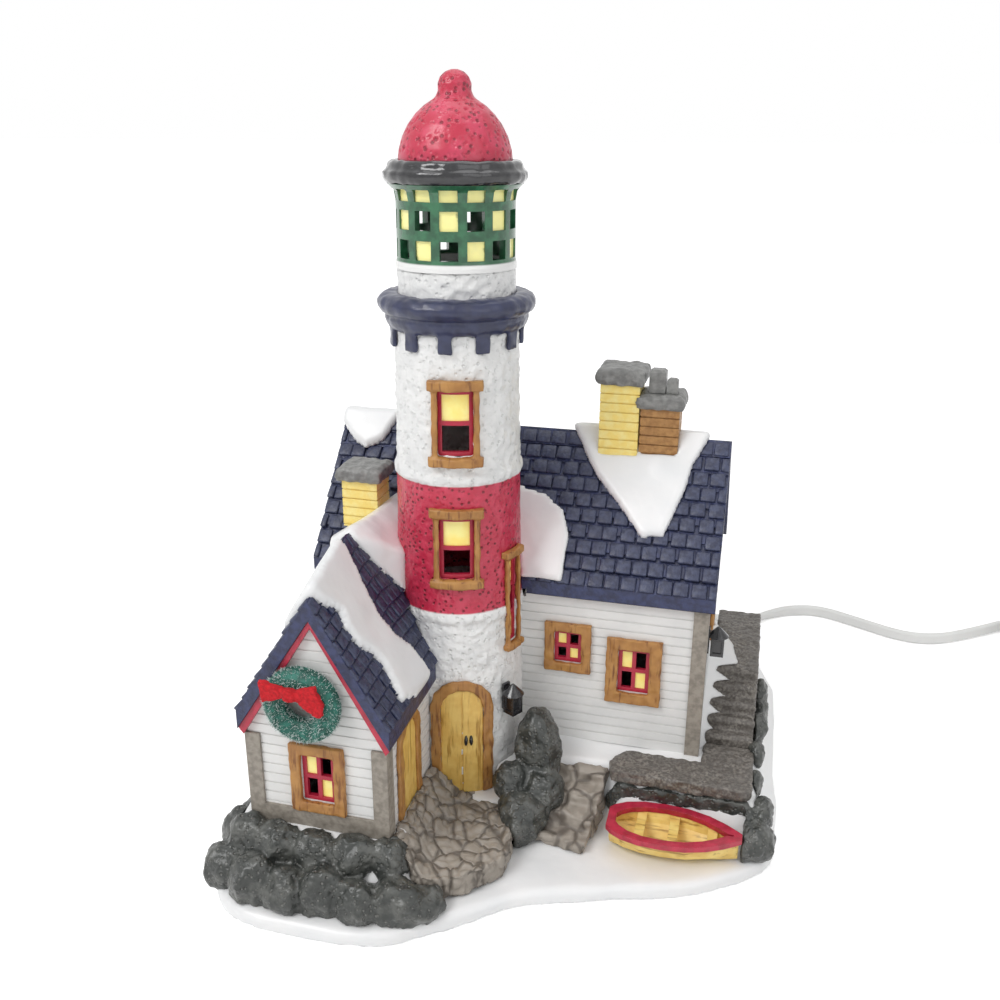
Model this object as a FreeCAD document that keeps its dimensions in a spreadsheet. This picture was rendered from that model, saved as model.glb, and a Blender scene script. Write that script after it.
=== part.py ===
import FreeCAD, Part
import math
import os

import Sketcher

# A lit ceramic lighthouse with a keeper's house, a gabled wing, a snow-covered base, a rowing boat and
# a clip-in lamp on a flat mains lead.  Millimetres, +Z up.  The origin is under the middle of the base,
# on the surface that the piece stands on.  -Y is the front, with the tower door and the boat.

V = FreeCAD.Vector
UP = V(0, 0, 1)
os.makedirs("parts", exist_ok=True)
doc = FreeCAD.newDocument("lit_lighthouse")
sheet = doc.addObject("Spreadsheet::Sheet", "dim")

SIZES = [
    # levels of the ground
    ("base_edge", 5.0, "thickness of the snow slab at its edge"),
    ("base_floor", 3.0, "thickness of the casting's bottom"),
    ("path_top", 13.0, "height of the cobbled path and the tower's foot"),
    ("yard_top", 22.0, "height of the snow that the house stands on"),
    ("yard_slope", 9.0, "how far the snow bank spreads from its top to the slab"),
    ("edge_round", 2.0, "rounding of the slab's top edge"),
    ("drain_r", 5.0, "radius of the casting hole under the base"),
    # outline of the base
    ("base_half_x", 87.0, "half the width of the base"),
    ("base_half_y", 87.0, "half the depth of the base"),
    # tower
    ("tower_x", -20.5, "tower axis"),
    ("tower_y", -5.0, "tower axis"),
    ("tower_r_low", 21.2, "tower radius at the path"),
    ("tower_r_top", 18.6, "tower radius under the gallery ring"),
    ("tower_wall", 2.4, "wall of the tower casting"),
    ("shoulder_z", 164.0, "height where the tower steps in to the neck"),
    ("neck_r", 17.4, "radius of the neck"),
    ("neck_top", 181.3, "top of the neck, seat of the lantern room"),
    ("band_low", 77.6, "bottom of the red band"),
    ("band_high", 119.0, "top of the red band"),
    ("bead", 0.7, "how far a bead stands out of the tower"),
    ("bead_h", 4.0, "height of a bead"),
    ("fit_gap", 0.15, "gap between the tower and the walls and roofs cut round it"),
    # gallery ring
    ("ring_r", 23.6, "radius of the gallery ring's upper roll"),
    ("ring_top", 174.4, "top of the gallery ring"),
    ("corbel_drop", 5.2, "length of the corbels under the ring"),
    ("corbel_w", 4.2, "width of a corbel"),
    ("corbel_out", 1.5, "how far a corbel stands out"),
    ("corbel_count", 11, "number of corbels"),
    ("corbel_turn", 6.5, "turn of the first corbel from the front, in degrees"),
    # lantern room, rim and dome
    ("lantern_top", 204.9, "top of the green lantern room"),
    ("lantern_flare", 19.7, "radius of its flared top"),
    ("pane_columns", 14, "panes round the lantern room"),
    ("pane_turn", 10.1, "turn of the first pane from the front, in degrees"),
    ("pane_w", 5.2, "width of a lantern pane"),
    ("pane_low_z", 184.6, "bottom of the lower panes"),
    ("pane_mid_z", 192.7, "bottom of the middle panes"),
    ("pane_top_z", 200.4, "bottom of the upper panes"),
    ("pane_h", 5.3, "height of the lower and middle panes"),
    ("pane_top_h", 3.2, "height of the upper panes"),
    ("pane_deep", 0.8, "depth of a closed pane"),
    ("rim_r", 20.8, "radius of the black rim"),
    ("rim_h", 6.4, "height of the black rim"),
    ("dome_r", 16.5, "radius of the dome at the rim"),
    ("dome_seat", 210.6, "height of the dome's foot"),
    ("dome_top", 228.2, "height of the dome under its knob"),
    ("knob_r", 5.0, "radius of the knob"),
    ("total_h", 235.0, "overall height"),
    # house
    ("house_left", -72.5, "left gable wall"),
    ("house_right", 59.5, "right gable wall"),
    ("house_front", 2.0, "front wall"),
    ("house_back", 67.0, "back wall"),
    ("house_wall", 2.5, "wall of the house casting"),
    ("roof_left", -74.5, "left edge of the roof"),
    ("roof_right", 62.0, "right edge of the roof"),
    ("eave_front", -0.7, "front edge of the roof"),
    ("eave_back", 69.7, "back edge of the roof"),
    ("eave_z", 80.7, "height of the roof's edge"),
    ("ridge_z", 122.8, "height of the ridge"),
    ("roof_drop", 4.6, "thickness of the roof, measured upright"),
    ("course", 4.3, "height of a shingle course, measured upright"),
    ("course_step", 0.7, "how far a course stands out"),
    ("board", 3.3, "height of a wall board"),
    ("board_groove", 0.35, "depth of the groove between wall boards"),
    ("trim_w", 1.8, "width of the red trim under the eaves"),
    ("trim_h", 2.2, "height of the red trim on the wall"),
    ("post_w", 4.8, "width of a corner board"),
    ("post_t", 0.8, "thickness of a corner board"),
    # wing
    ("wing_left", -68.0, "left wall of the wing"),
    ("wing_right", -25.0, "right wall of the wing"),
    ("wing_front", -65.0, "gable wall of the wing"),
    ("wing_eave_left", -70.0, "left edge of the wing roof"),
    ("wing_eave_right", -22.6, "right edge of the wing roof"),
    ("wing_eave_z", 60.0, "height of the wing roof's edge"),
    ("wing_roof_front", -67.5, "front edge of the wing roof"),
    ("wing_ridge_x", -45.2, "ridge of the wing at its front"),
    ("wing_ridge_z", 98.0, "height of the wing ridge at its front"),
    ("wing_peak_x", -47.6, "ridge of the wing at its highest place"),
    ("wing_peak_y", -34.0, "place of the wing ridge's highest point"),
    ("wing_peak_z", 104.5, "height of the wing ridge's highest point"),
    ("wing_roof_t", 6.0, "thickness of the wing roof, measured upright"),
    ("rake_h", 2.0, "height of the red trim under the gable's edge"),
    ("sill_h", 6.0, "height of the grey band at the foot of the gable"),
    # windows in flat walls: middle, sizes and the width of their frames
    ("win_a_x", 14.9, "small window"),
    ("win_a_z", 57.0, "small window"),
    ("win_a_w", 15.7, "small window"),
    ("win_a_h", 18.0, "small window"),
    ("win_a_frame", 3.2, "small window"),
    ("win_b_x", 37.1, "large window"),
    ("win_b_z", 50.9, "large window"),
    ("win_b_w", 18.2, "large window"),
    ("win_b_h", 23.8, "large window"),
    ("win_b_frame", 3.9, "large window"),
    ("win_c_x", -46.1, "gable window"),
    ("win_c_z", 39.5, "gable window"),
    ("win_c_w", 17.2, "gable window"),
    ("win_c_h", 23.0, "gable window"),
    ("win_c_frame", 3.4, "gable window"),
    ("frame_out", 1.7, "how far a window frame stands out of its wall"),
    ("sash_bar", 1.3, "width of a sash bar"),
    ("sash_t", 1.4, "thickness of a sash"),
    ("sash_set", 0.3, "how far a sash stands back from the wall's face"),
    ("sash_gap", 0.08, "gap between a sash and its opening"),
    # windows and door in the tower
    ("tower_win_turn", 14.5, "turn of the tower windows from the front, in degrees"),
    ("tower_win_w", 16.6, "width over a tower window's frame"),
    ("tower_win_frame", 3.0, "width of its frame"),
    ("tower_win_low", 86.5, "sill of the lower tower window"),
    ("tower_win_high", 125.6, "sill of the upper tower window"),
    ("tower_win_h", 25.8, "height over a tower window's frame"),
    ("side_win_turn", 71.5, "turn of the side window from the front, in degrees"),
    ("side_win_low", 62.0, "sill of the side window"),
    ("side_win_w", 9.6, "width over the side window's frame"),
    ("side_win_h", 34.0, "height over the side window's frame"),
    ("door_turn", 17.5, "turn of the tower door from the front, in degrees"),
    ("door_w", 20.4, "width over the tower door's arch"),
    ("door_h", 41.5, "height over the tower door's arch"),
    ("door_frame", 3.4, "width of the door's arch"),
    ("door_out", 1.3, "how far the arch stands out"),
    ("leaf_out", 0.5, "how far a door leaf stands out"),
    ("light_way_w", 16.0, "width of the opening that lets the lamp's light into the tower"),
    ("light_way_low", 30.0, "bottom of that opening"),
    ("light_way_high", 68.0, "top of that opening"),
    ("light_way_turn", 160.0, "turn of that opening from the front, in degrees"),
    # doors in flat walls
    ("wing_door_y", -47.0, "middle of the wing's side door"),
    ("wing_door_w", 19.0, "width over its arch"),
    ("wing_door_h", 33.0, "height over its arch"),
    ("gable_door_y", 44.0, "middle of the door on the upper landing"),
    ("gable_door_w", 17.0, "width over its arch"),
    ("gable_door_h", 32.0, "height over its arch"),
    # chimneys: left and right side, front and back, cap height
    ("stack_a_x", -62.0, "left side of the chimney on the snow saddle"),
    ("stack_a_y", -2.0, "front of the chimney on the snow saddle"),
    ("stack_a_w", 12.4, "its width"),
    ("stack_a_d", 11.0, "its depth"),
    ("stack_a_top", 110.0, "top of its shaft"),
    ("stack_b_x", 18.6, "left side of the tall yellow chimney"),
    ("stack_b_y", 27.0, "front of the tall yellow chimney"),
    ("stack_b_w", 13.0, "its width"),
    ("stack_b_d", 13.0, "its depth"),
    ("stack_b_top", 141.0, "top of its shaft"),
    ("stack_c_w", 12.8, "width of the brown chimney"),
    ("stack_c_d", 11.0, "depth of the brown chimney"),
    ("stack_c_top", 133.6, "top of the brown chimney's shaft"),
    ("cap_over", 1.7, "how far a chimney cap stands out"),
    ("cap_h", 5.0, "height of a chimney cap"),
    ("brick_h", 3.1, "height of a brick course"),
    ("brick_groove", 0.4, "depth of a brick joint"),
    # walkway
    ("walk_left", 60.5, "left side of the side walk"),
    ("walk_right", 77.5, "right side of the side walk"),
    ("walk_front", -16.0, "front of the lower landing"),
    ("walk_back", 74.0, "back of the upper landing"),
    ("walk_steps_y", 9.5, "front of the first step"),
    ("walk_tread", 4.2, "depth of a tread"),
    ("walk_riser", 4.2, "height of a riser"),
    ("walk_steps", 5, "number of risers"),
    ("landing_left", 33.5, "left end of the lower landing"),
    ("landing_deep", 13.0, "depth of the lower landing"),
    ("slab_t", 4.4, "thickness of the lower landing"),
    # cobbled steps in front of the yard
    ("steps_left", 16.0, "left side of the front steps"),
    ("steps_w", 17.0, "width of the front steps"),
    ("steps_back", -6.0, "back of the front steps"),
    ("steps_tread", 7.2, "depth of a front step"),
    ("steps_count", 4, "number of front steps"),
    ("steps_turn", -8.0, "turn of the front steps, in degrees"),
    # boat
    ("boat_x", 35.5, "stern of the boat"),
    ("boat_y", -27.0, "middle line of the boat"),
    ("boat_l", 40.0, "length of the boat"),
    ("boat_beam", 19.0, "beam of the boat"),
    ("boat_deep", 7.6, "depth of the boat"),
    ("boat_wall", 1.2, "thickness of the boat's side"),
    ("gunwale_w", 2.6, "width of the gunwale"),
    ("gunwale_h", 1.8, "height of the gunwale"),
    # wreath
    ("wreath_x", -48.2, "middle of the wreath"),
    ("wreath_z", 66.0, "middle of the wreath"),
    ("wreath_r", 8.3, "radius of the wreath's ring"),
    ("wreath_t", 3.5, "radius of the wreath's stems and needles"),
    # lamp
    ("lamp_x", 20.0, "middle of the lamp hole in the back wall"),
    ("lamp_z", 44.0, "middle of the lamp hole in the back wall"),
    ("lamp_hole_r", 14.0, "radius of the lamp hole"),
    ("holder_r", 9.4, "radius of the lamp holder"),
    ("holder_in", 49.0, "inner end of the lamp holder"),
    ("holder_l", 30.0, "length of the lamp holder"),
    ("holder_bore", 6.4, "radius of the holder's mouth"),
    ("bulb_base_r", 5.9, "radius of the candelabra screw base"),
    ("bulb_base_l", 13.0, "length of the screw base"),
    ("bulb_r", 10.5, "radius of the bulb"),
    ("bulb_l", 38.0, "length of the bulb's glass"),
    ("relief_l", 21.0, "length of the strain relief"),
    ("relief_r", 5.2, "radius of the strain relief at the holder"),
    # lead
    ("lead_d", 5.2, "width of the flat lead"),
    ("coil_x", 228.0, "middle of the put-away coil"),
    ("coil_y", 150.0, "middle of the put-away coil"),
    ("coil_r", 39.5, "radius of the coil's outer turn"),
    ("coil_pitch", 5.8, "step from turn to turn"),
    ("coil_layer", 5.75, "step from layer to layer"),
    ("coil_turns", 4, "turns in each of the two layers"),
    # tie and plug
    ("tie_t", 1.3, "thickness of the tie round the coil"),
    ("tie_w", 5.0, "width of the tie"),
    ("plug_w", 25.0, "width of the plug"),
    ("plug_l", 20.0, "length of the plug's body"),
    ("plug_h", 11.0, "thickness of the plug"),
    ("plug_x", 286.0, "middle of the plug"),
    ("plug_y", 142.0, "place where the lead enters the plug"),
    ("blade_w", 6.35, "width of a plug blade"),
    ("blade_t", 1.5, "thickness of a plug blade"),
    ("blade_l", 16.5, "length of a plug blade"),
    ("blade_gap", 12.7, "distance from blade to blade"),
]
for row, (alias, number, note) in enumerate(SIZES, start=1):
    sheet.set(f"A{row}", note)
    sheet.set(f"B{row}", str(number))
    sheet.setAlias(f"B{row}", alias)
doc.recompute()

nodes = {}


def size(alias):
    return float(getattr(sheet, alias))


def value(text):
    """The number that an expression on the sheet's sizes gives now."""
    return float(sheet.evalExpression(text))


def bind(thing, **expressions):
    """Ties properties to expressions: Length='dim.a', with at_x, at_y, at_z and turn for the placement."""
    places = {
        "at_x": "Placement.Base.x",
        "at_y": "Placement.Base.y",
        "at_z": "Placement.Base.z",
        "turn": "Placement.Rotation.Angle",
    }
    for name, text in expressions.items():
        if name == "turn":
            thing.Placement.Rotation = FreeCAD.Rotation(UP, 1.0)
        thing.setExpression(places.get(name, name), str(text))
    return thing


def node(label, thing):
    thing.Label = label
    nodes[label] = thing
    return thing


def block(name, x, y, z, length, width, height):
    made = doc.addObject("Part::Box", name)
    return bind(made, Length=length, Width=width, Height=height, at_x=x, at_y=y, at_z=z)


def rod(name, radius, height, x, y, z, along=UP):
    made = doc.addObject("Part::Cylinder", name)
    made.Placement.Rotation = FreeCAD.Rotation(UP, along)
    return bind(made, Radius=radius, Height=height, at_x=x, at_y=y, at_z=z)


def without(name, base, *tools):
    """base with each tool cut out of it."""
    for number, tool in enumerate(tools):
        made = doc.addObject("Part::Cut", f"{name}_{number}")
        made.Base = base
        made.Tool = tool
        base = made
    return base


def joined(name, *pieces):
    made = doc.addObject("Part::MultiFuse", name)
    made.Shapes = list(pieces)
    return made


def common(name, first, second):
    made = doc.addObject("Part::Common", name)
    made.Base = first
    made.Tool = second
    return made


def shaped(name, shape):
    """An object whose shape is worked out here, from the sheet's sizes."""
    made = doc.addObject("Part::Feature", name)
    made.Shape = shape
    return made


def kept(name, thing, least):
    """The thing without crumbs: only its solids of at least so many cubic millimetres."""
    doc.recompute()
    solids = [solid for solid in thing.Shape.Solids if solid.Volume >= least]
    return shaped(name, solids[0] if len(solids) == 1 else Part.makeCompound(solids))


def sketch_on(body, plane, points, offset="0"):
    """A closed outline of straight lines. Each corner is a pair of expressions on the sheet."""
    made = body.newObject("Sketcher::SketchObject", body.Name + "_sketch")
    face = [part for part in body.Origin.OriginFeatures if part.Role == plane + "_Plane"]
    made.AttachmentSupport = [(face[0], "")]
    made.MapMode = "FlatFace"
    made.setExpression("AttachmentOffset.Base.z", offset)
    corners = [(value(a), value(b)) for a, b in points]
    count = len(corners)
    for number, (a, b) in enumerate(corners):
        c, d = corners[(number + 1) % count]
        made.addGeometry(Part.LineSegment(V(a, b, 0), V(c, d, 0)), False)
    for number in range(count):
        made.addConstraint(Sketcher.Constraint("Coincident", number, 2, (number + 1) % count, 1))
    for number, corner in enumerate(points):
        for kind, text in zip(("DistanceX", "DistanceY"), corner):
            rule = Sketcher.Constraint(kind, -1, 1, number, 1, value(text))
            made.setExpression(f"Constraints[{made.addConstraint(rule)}]", str(text))
    return made


def prism(name, plane, points, low, high):
    """An outline on XY, XZ or YZ, drawn out from low to high along the third axis."""
    body = doc.addObject("PartDesign::Body", name)
    start = f"-({high})" if plane == "XZ" else low
    outline = sketch_on(body, plane, points, start)
    pad = body.newObject("PartDesign::Pad", name + "_pad")
    pad.Profile = outline
    pad.setExpression("Length", f"({high}) - ({low})")
    return body


def turned(name, points, x="0", y="0"):
    """An outline of radius and height, turned about an upright axis."""
    body = doc.addObject("PartDesign::Body", name)
    outline = sketch_on(body, "XZ", points)
    turn = body.newObject("PartDesign::Revolution", name + "_turn")
    turn.Profile = outline
    turn.ReferenceAxis = (outline, ["V_Axis"])
    turn.Angle = 360
    return bind(body, at_x=x, at_y=y)


def rounded_wire(corners, radii, closed=False):
    """Straight runs joined by tangent arcs, one arc of its own radius at each corner."""
    points = [V(*corner) for corner in corners]
    count = len(points)
    inner = range(count) if closed else range(1, count - 1)
    ends = {}
    for number in inner:
        here = points[number]
        back = points[number - 1] - here
        on = points[(number + 1) % count] - here
        back.normalize()
        on.normalize()
        turn = math.pi - back.getAngle(on)
        reach = radii[number] * math.tan(turn / 2)
        middle = back + on
        middle.normalize()
        high = here + middle * (radii[number] / math.cos(turn / 2) - radii[number])
        ends[number] = (here + back * reach, high, here + on * reach)
    edges = []
    last = ends[count - 1][2] if closed else points[0]
    for number in range(count):
        if number in ends:
            start, high, stop = ends[number]
            edges.append(Part.LineSegment(last, start).toShape())
            edges.append(Part.Arc(start, high, stop).toShape())
            last = stop
    if not closed:
        edges.append(Part.LineSegment(last, points[-1]).toShape())
    return Part.Wire(edges)


def run_radii(corners):
    """The largest arc that each corner's two runs allow: 0.45 of the shorter, over tan of half the turn."""
    points = [V(*corner) for corner in corners]
    radii = [0.0]
    for before, here, after in zip(points, points[1:], points[2:]):
        turn = (here - before).getAngle(after - here)
        run = min((here - before).Length, (after - here).Length)
        radii.append(0.45 * run / math.tan(turn / 2))
    return radii + [0.0]


def closed_wire(points):
    return Part.makePolygon(points + [points[0]])


# ---------------------------------------------------------------- tools shared by several sub-parts


def tower_cone(name, offset, low="dim.path_top - 1"):
    """The tower's outside, grown or shrunk by offset, from low to its shoulder."""
    made = doc.addObject("Part::Cone", name)
    slope = "(dim.tower_r_top - dim.tower_r_low) / (dim.shoulder_z - dim.path_top)"
    return bind(
        made,
        Radius1=f"dim.tower_r_low + ({offset}) + ({low} - dim.path_top) * {slope}",
        Radius2=f"dim.tower_r_top + ({offset})",
        Height=f"dim.shoulder_z - ({low})",
        at_x="dim.tower_x",
        at_y="dim.tower_y",
        at_z=low,
    )


RIDGE_Y = "((dim.eave_front + dim.eave_back) / 2)"
ROOF_SLOPE = f"((dim.ridge_z - dim.eave_z) / ({RIDGE_Y} - dim.eave_front))"


def roof_under(y):
    """Height of the house roof's underside over a place in front of the ridge."""
    return f"(dim.eave_z - dim.roof_drop + (({y}) - dim.eave_front) * {ROOF_SLOPE})"


def roof_under_back(y):
    return f"(dim.eave_z - dim.roof_drop + (dim.eave_back - ({y})) * {ROOF_SLOPE})"


bead_rods = [
    rod(
        f"bead_space_{low}", "dim.tower_r_low + dim.bead", "dim.bead_h", "dim.tower_x", "dim.tower_y",
        f"dim.{low}" + (" - dim.bead_h" if low == "band_low" else ""),
    )
    for low in ("band_low", "band_high")
]
tower_space = joined("tower_space", tower_cone("tower_space_cone", "dim.fit_gap"), *bead_rods)
tower_face = tower_cone("tower_face", "0")


# ---------------------------------------------------------------- snow base


def around(thing, angle):
    """Carries a shape drawn about its own Z axis, facing -Y, to the tower and turns it."""
    return bind(thing, at_x="dim.tower_x", at_y="dim.tower_y", turn=angle)


def radial_block(name, left, right, low, high, near, far, angle):
    """A straight block that points out of the tower, from radius far to radius near."""
    corners = [(left, low), (right, low), (right, high), (left, high)]
    return around(prism(name, "XZ", corners, f"-({near})", f"-({far})"), angle)


def base_outline(z, grow=0.0):
    """The wavy edge of the snow slab: corners with their own rounding."""
    half_x = size("base_half_x") + grow
    half_y = size("base_half_y") + grow
    corners = [
        (-half_x, -52, 30), (-72, -half_y, 22), (-22, -half_y, 34), (14, -58 - grow, 40),
        (62, -42 - grow, 50), (half_x, -24, 22), (half_x, 10, 60), (84 + grow, half_y, 12),
        (-84 - grow, half_y, 14), (-half_x, 20, 60),
    ]
    points = [(x, y, z) for x, y, _ in corners]
    return rounded_wire(points, [r for _, _, r in corners], closed=True)


def spread_out(corners, reach):
    """The same outline, anticlockwise, with every side moved out by reach."""
    moved = []
    for number, corner in enumerate(corners):
        here = V(*corner, 0)
        on = V(*corners[(number + 1) % len(corners)], 0) - here
        back = here - V(*corners[number - 1], 0)
        on.normalize()
        back.normalize()
        out = V(on.y, -on.x, 0) + V(back.y, -back.x, 0)
        out = out * (2 * reach / out.dot(out))
        moved.append((here.x + out.x, here.y + out.y))
    return moved


def bank(name, corners, radius, low, high, spread):
    """A snow bank: a rounded outline at its top, spreading to a larger one at its foot."""
    radii = [radius] * len(corners)
    top = rounded_wire([(x, y, high) for x, y in corners], radii, closed=True)
    foot = rounded_wire([(x, y, low) for x, y in spread_out(corners, spread)], radii, closed=True)
    return shaped(name, Part.makeLoft([foot, top], True, True))


def snow_base():
    edge = size("base_edge")
    slab = Part.Face(base_outline(0.0)).extrude(UP * edge)
    rim = [e for e in slab.Edges if abs(e.BoundBox.ZMin - edge) < 1e-6]
    slab = shaped("snow_slab", slab.makeFillet(size("edge_round"), rim))
    yard_corners = [
        (size("wing_left") - 4, size("wing_front") - 3),
        (size("wing_right") + 3, size("wing_front") - 3),
        (size("wing_right") + 3, -24),
        (4, -22),
        (14, -10),
        (size("landing_left"), -8),
        (size("landing_left") + 6, size("walk_front") + 4),
        (size("walk_right"), size("walk_front") + 4),
        (size("walk_right"), size("walk_back") + 2),
        (size("house_left") - 4, size("walk_back") + 2),
        (size("house_left") - 4, -20),
    ]
    yard = bank("yard_bank", yard_corners, 2.5, edge - 0.5, size("yard_top"), size("yard_slope"))
    return slab, yard


slab, yard = snow_base()
ground = joined("ground", slab, yard)
ground = without(
    "ground_cut",
    ground,
    rod("tower_well", "dim.tower_r_low + dim.fit_gap", "50", "dim.tower_x", "dim.tower_y", "dim.path_top"),
    rod(
        "tower_cavity",
        "dim.tower_r_low - dim.tower_wall",
        "50",
        "dim.tower_x",
        "dim.tower_y",
        "dim.base_floor",
    ),
    block(
        "house_cavity",
        "dim.house_left + dim.house_wall",
        "dim.house_front + dim.house_wall",
        "dim.base_floor",
        "dim.house_right - dim.house_left - 2 * dim.house_wall",
        "dim.house_back - dim.house_front - 2 * dim.house_wall",
        "50",
    ),
    block(
        "wing_cavity",
        "dim.wing_left + dim.house_wall",
        "dim.wing_front + dim.house_wall",
        "dim.base_floor",
        "dim.wing_right - dim.wing_left - 2 * dim.house_wall",
        "dim.house_front - dim.wing_front",
        "50",
    ),
    rod("drain", "dim.drain_r", "20", "0", "35", "-5"),
    radial_block(
        "door_way", "-dim.door_w / 2 - 1", "dim.door_w / 2 + 1", "dim.path_top", "dim.yard_top + 20",
        "dim.tower_r_low + 14", "dim.tower_r_low - 8", "dim.door_turn",
    ),
)
node("snow_base", ground)


# ---------------------------------------------------------------- tower


def tower_shell():
    slope = "((dim.tower_r_top - dim.tower_r_low) / (dim.shoulder_z - dim.path_top))"

    def at(z, out="0"):
        return (f"dim.tower_r_low + (({z}) - dim.path_top) * {slope} + ({out})", z)

    outline = [
        at("dim.path_top"),
        at("dim.band_low - dim.bead_h"),
        at("dim.band_low - dim.bead_h * 0.75", "dim.bead"),
        at("dim.band_low - dim.bead_h * 0.25", "dim.bead"),
        at("dim.band_low"),
        at("dim.band_high"),
        at("dim.band_high + dim.bead_h * 0.25", "dim.bead"),
        at("dim.band_high + dim.bead_h * 0.75", "dim.bead"),
        at("dim.band_high + dim.bead_h"),
        at("dim.shoulder_z"),
        ("dim.neck_r", "dim.shoulder_z"),
        ("dim.neck_r", "dim.neck_top"),
        ("dim.neck_r - dim.tower_wall", "dim.neck_top"),
        ("dim.neck_r - dim.tower_wall", "dim.shoulder_z - dim.tower_wall"),
        at("dim.shoulder_z - 2 * dim.tower_wall", "-dim.tower_wall"),
        at("dim.path_top", "-dim.tower_wall"),
    ]
    return turned("tower_turned", outline, "dim.tower_x", "dim.tower_y")


def tower_window(name, angle, low, width, height, frame, rows, closed):
    """A frame with a lintel and a sill, and a sash with its panes, both on the tower's curve."""
    half = f"({width}) / 2"
    inner = f"({width}) / 2 - ({frame})"
    near = "dim.tower_r_low + 5"
    far = "dim.tower_r_top - 8"
    top = f"({low}) + ({height})"

    def slot(tag, a, b, c, d):
        return radial_block(f"{name}_{tag}", a, b, c, d, near, far, angle)

    hole = slot("hole", f"-({inner})", inner, f"({low}) + ({frame})", f"({top}) - ({frame})")
    jambs = slot("jambs", f"-({half}) + 1.2", f"({half}) - 1.2", low, top)
    lintel = slot("lintel", f"-({half})", half, f"({top}) - ({frame})", top)
    sill = slot("sill", f"-({half})", half, low, f"({low}) + ({frame}) - 0.4")
    frame_skin = tower_cone(f"{name}_frame_skin", "dim.frame_out")
    ledge_skin = tower_cone(f"{name}_ledge_skin", "dim.frame_out + 0.8")
    body = joined(
        f"{name}_frame_blank",
        common(f"{name}_jambs_cut", jambs, frame_skin),
        common(f"{name}_ledges_cut", joined(f"{name}_ledges", lintel, sill), ledge_skin),
    )
    node(f"{name}_frame", without(f"{name}_frame_cut", body, hole, tower_face))
    gap = "dim.sash_gap"
    blank = slot(
        "sash_blank",
        f"-({inner}) + {gap}",
        f"({inner}) - {gap}",
        f"({low}) + ({frame}) + {gap}",
        f"({top}) - ({frame}) - {gap}",
    )
    sash = common(f"{name}_sash_out", blank, tower_cone(f"{name}_sash_skin", "-dim.sash_set"))
    sash = without(f"{name}_sash_back", sash, tower_cone(f"{name}_sash_core", "-dim.sash_set - dim.sash_t"))
    tall = f"(({height}) - 2 * ({frame}) - dim.sash_bar) / {rows}"
    side = f"({inner}) - dim.sash_bar"
    tools = []
    for row in range(rows):
        foot = f"({low}) + ({frame}) + dim.sash_bar + {row} * {tall}"
        pane = slot(f"pane_{row}", f"-({side})", side, foot, f"{foot} + {tall} - dim.sash_bar")
        if row in closed:
            core = tower_cone(f"{name}_core_{row}", "-dim.sash_set - dim.sash_t / 2")
            pane = without(f"{name}_recess_{row}", pane, core)
        tools.append(pane)
    node(f"{name}_sash", without(f"{name}_sash_panes", sash, *tools))
    return hole


def arch_points(half, low, high, count=7):
    """A doorway's outline with a round head, as expressions."""
    points = [(f"-({half})", low), (half, low)]
    for step in range(count + 1):
        angle = 180.0 * step / count
        points.append((f"({half}) * cos({angle})", f"({high}) - ({half}) + ({half}) * sin({angle})"))
    return points


def tower_door():
    low = "dim.path_top"
    high = "dim.path_top + dim.door_h"
    near = "-(dim.tower_r_low + 5)"
    outer = "dim.door_w / 2"
    inner = "dim.door_w / 2 - dim.door_frame"
    blank = prism("door_arch_blank", "XZ", arch_points(outer, low, high), near, "-10")
    inside = prism("door_arch_inside", "XZ", arch_points(inner, low, f"{high} - dim.door_frame"), near, "-10")
    around(blank, "dim.door_turn")
    around(inside, "dim.door_turn")
    arch = common("door_arch_skin", blank, tower_cone("door_skin", "dim.door_out"))
    node("tower_door_arch", without("door_arch", arch, inside, tower_face))
    leaf = common("door_leaf_skin", inside, tower_cone("leaf_skin", "dim.leaf_out"))
    seam = radial_block("door_seam", "-0.25", "0.25", low, high, "dim.tower_r_low + 5", "10", "dim.door_turn")
    seam = without("door_seam_cut", seam, tower_cone("seam_core", "dim.leaf_out - 0.3"))
    node("tower_door", without("door_leaf", leaf, seam, tower_face))


shell = tower_shell()
upper_hole = tower_window(
    "upper_tower_window", "dim.tower_win_turn", "dim.tower_win_high",
    "dim.tower_win_w", "dim.tower_win_h", "dim.tower_win_frame", 2, (1,),
)
lower_hole = tower_window(
    "lower_tower_window", "dim.tower_win_turn", "dim.tower_win_low",
    "dim.tower_win_w", "dim.tower_win_h", "dim.tower_win_frame", 2, (1,),
)
side_hole = tower_window(
    "side_tower_window", "dim.side_win_turn", "dim.side_win_low",
    "dim.side_win_w", "dim.side_win_h", "2.2", 3, (0, 2),
)
tower_door()
light_way = radial_block(
    "light_way",
    "-dim.light_way_w / 2",
    "dim.light_way_w / 2",
    "dim.light_way_low",
    "dim.light_way_high",
    "dim.tower_r_low + 5",
    "dim.tower_r_top / 2",
    "dim.light_way_turn",
)
node("tower", without("tower_holes", shell, upper_hole, lower_hole, side_hole, light_way))

RING = [
    ("dim.neck_r", "dim.shoulder_z"),
    ("dim.tower_r_top + 1.2", "dim.shoulder_z"),
    ("dim.ring_r - 2.6", "dim.shoulder_z + 1.4"),
    ("dim.ring_r - 1.9", "dim.shoulder_z + 3.2"),
    ("dim.ring_r - 2.6", "dim.shoulder_z + 4.4"),
    ("dim.ring_r - 1.0", "dim.shoulder_z + 5.0"),
    ("dim.ring_r", "dim.shoulder_z + 6.6"),
    ("dim.ring_r", "dim.shoulder_z + 8.0"),
    ("dim.ring_r - 1.0", "dim.ring_top - 0.8"),
    ("dim.ring_r - 2.8", "dim.ring_top"),
    ("dim.neck_r", "dim.ring_top"),
]


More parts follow.
